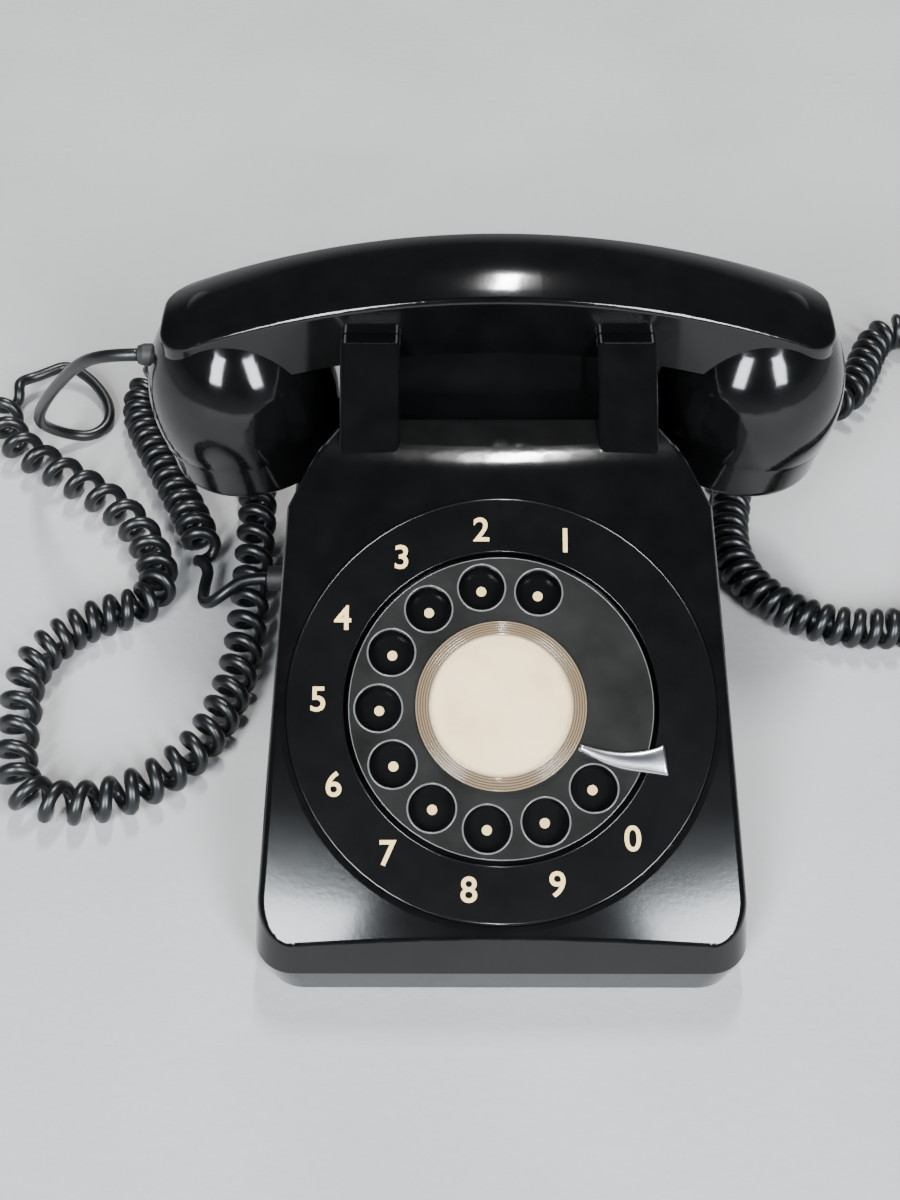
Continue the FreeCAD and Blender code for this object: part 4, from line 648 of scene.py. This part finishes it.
def curly_path(line, start, end, pitches):
    """Points of a wire that follows a line and winds round it between two distances."""
    radius = (CURL_OUTSIDE - WIRE) / 2 * MM
    tightest = (WIRE + CURL_GAP) * MM
    step = 0.0003
    end_run = 0.030
    end_stretch = 0.018
    least_room = 0.35
    bend_share = 1.05
    least_step = 0.0005
    count = int((end - start) / step)
    rates = []
    for i in range(count + 1):
        spot = start + (end - start) * i / count
        room = max(least_room, 1 - radius * bend_share * line.bend(spot))
        ease = min(1.0, (spot - start) / end_run, (end - spot) / end_run)
        pitch = between(pitches, i / count) * MM
        rates.append(1 / max(pitch + end_stretch * (1 - ease), tightest / room))
    width = 20
    smooth = []
    for i in range(count + 1):
        span = rates[max(0, i - width):i + width + 1]
        smooth.append(sum(span) / len(span))
    turns = sum(smooth[:-1]) * (end - start) / count
    whole = round(turns)
    scale = whole / turns
    points = [p for p, mark in zip(line.points, line.marks) if mark < start - least_step]
    turn = 0.0
    per_turn = 22
    done = -1
    ramp_turns = 1.5
    for i in range(count + 1):
        if int(turn * per_turn) > done or i == count:
            done = int(turn * per_turn)
            spot = start + (end - start) * i / count
            heading = line.heading(spot)
            side = heading.cross(Vector((0, 0, 1))).normalized()
            over = side.cross(heading)
            ramp = max(0.0, min(1.0, turn / ramp_turns, (whole - turn) / ramp_turns))
            swing = radius * ramp * ramp * (3 - 2 * ramp)
            angle = 2 * math.pi * turn
            aside = side * (swing * math.sin(angle))
            points.append(line.at(spot) + aside - over * (swing * math.cos(angle)))
        turn += smooth[i] * scale * (end - start) / count
    points += [p for p, mark in zip(line.points, line.marks) if mark > end + least_step]
    spaced = points[:1]
    for point in points[1:]:
        if (point - spaced[-1]).length > least_step:
            spaced.append(point)
    return spaced


def tube_mesh(name, points, radius, sides=12):
    """A closed round tube along points, without twist."""
    mesh = bpy.data.meshes.new(name)
    form = bmesh.new()
    rings = []
    across = None
    for i, point in enumerate(points):
        heading = (points[min(i + 1, len(points) - 1)] - points[max(i - 1, 0)]).normalized()
        if across is None:
            across = heading.orthogonal().normalized()
        across = (across - heading * across.dot(heading)).normalized()
        other = heading.cross(across)
        ring = []
        for k in range(sides):
            angle = 2 * math.pi * k / sides
            out = across * math.cos(angle) + other * math.sin(angle)
            ring.append(form.verts.new(point + out * radius))
        rings.append(ring)
    for first, second in zip(rings, rings[1:]):
        for k in range(sides):
            form.faces.new((first[k], first[(k + 1) % sides], second[(k + 1) % sides], second[k]))
    form.faces.new(list(reversed(rings[0])))
    form.faces.new(rings[-1])
    for face in form.faces:
        face.smooth = True
    form.to_mesh(mesh)
    form.free()
    return mesh


def raised(route):
    return [(x, y, COIL_Z) for x, y in route]


def cord_piece(name, lead, curls, tail, pitches, body=None):
    """A cord's tube, curled between its lead and its tail, and the points that it follows."""
    line = Line(spline_points(lead + raised(curls) + tail, MM, 16))
    start = line.nearest(Vector((*curls[0], COIL_Z)) * MM)
    end = line.nearest(Vector((*curls[-1], COIL_Z)) * MM)
    points = curly_path(line, start, end, pitches)
    mesh = tube_mesh(name, points, WIRE / 2 * MM)
    return new_piece(name, mesh, "cord_black", body), points


def make_handset_cord():
    cord, points = cord_piece("handset_cord", HANDSET_LEAD, HANDSET_CURL_ROUTE, HANDSET_TAIL, HANDSET_PITCH)
    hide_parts("handset_cord_lead", "handset_cord_curls", "handset_cord_tail")
    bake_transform(cord)


def make_line_cord():
    cord, points = cord_piece("line_cord", LINE_LEAD, LINE_CURL_ROUTE, LINE_END, LINE_PITCH, "base")
    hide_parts("line_cord_lead", "line_cord_curls", "line_cord_end")


make_handset_cord()
make_line_cord()


# Floor and light

def make_floor():
    mesh = bpy.data.meshes.new("floor")
    form = bmesh.new()
    bmesh.ops.create_grid(form, x_segments=2, y_segments=2, size=1.6)
    form.to_mesh(mesh)
    form.free()
    floor = bpy.data.objects.new("floor", mesh)
    scene.collection.objects.link(floor)
    dark = (0.35, 0.34, 0.335)
    light = (0.41, 0.40, 0.395)
    shader = Shader("floor", light, 0.85)
    shader.tint(shader.noise(7.0, 6.0), [(0.3, dark), (0.7, light)])
    shader.bump(shader.noise(260.0, 6.0), 0.25, 0.001)
    mesh.materials.append(shader.material)


def area_light(name, place, aim, size, power, color=(1, 1, 1)):
    data = bpy.data.lights.new(name, "AREA")
    data.shape = "RECTANGLE"
    data.size = size[0]
    data.size_y = size[1]
    data.energy = power
    data.color = color
    light = bpy.data.objects.new(name, data)
    place = Vector(place)
    turn = (place - Vector(aim)).to_track_quat("Z", "Y").to_matrix().to_4x4()
    light.matrix_world = Matrix.Translation(place) @ turn
    scene.collection.objects.link(light)


def make_light():
    world = bpy.data.worlds.new("studio")
    world.use_nodes = True
    tree = world.node_tree
    background = tree.nodes["Background"]
    spot = tree.nodes.new("ShaderNodeTexCoord")
    parts = tree.nodes.new("ShaderNodeSeparateXYZ")
    sky = tree.nodes.new("ShaderNodeValToRGB")
    tree.links.new(spot.outputs["Generated"], parts.inputs["Vector"])
    tree.links.new(parts.outputs["Z"], sky.inputs["Fac"])
    tree.links.new(sky.outputs["Color"], background.inputs["Color"])
    sky.color_ramp.elements[0].position = 0.02
    sky.color_ramp.elements[0].color = (0.50, 0.51, 0.52, 1.0)
    sky.color_ramp.elements[1].position = 0.30
    sky.color_ramp.elements[1].color = (0.055, 0.060, 0.066, 1.0)
    scene.world = world
    middle = (0, 0, 0.05)
    daylight = (0.88, 0.95, 1.0)
    area_light("window_left", (-0.74, -1.46, 1.30), middle, (0.50, 1.10), 90.0, daylight)
    area_light("window_right", (0.86, -1.44, 1.28), middle, (0.50, 1.10), 90.0, daylight)
    area_light("ceiling", (0.09, 0.98, 1.80), middle, (0.08, 0.46), 42.0)


make_floor()
make_light()
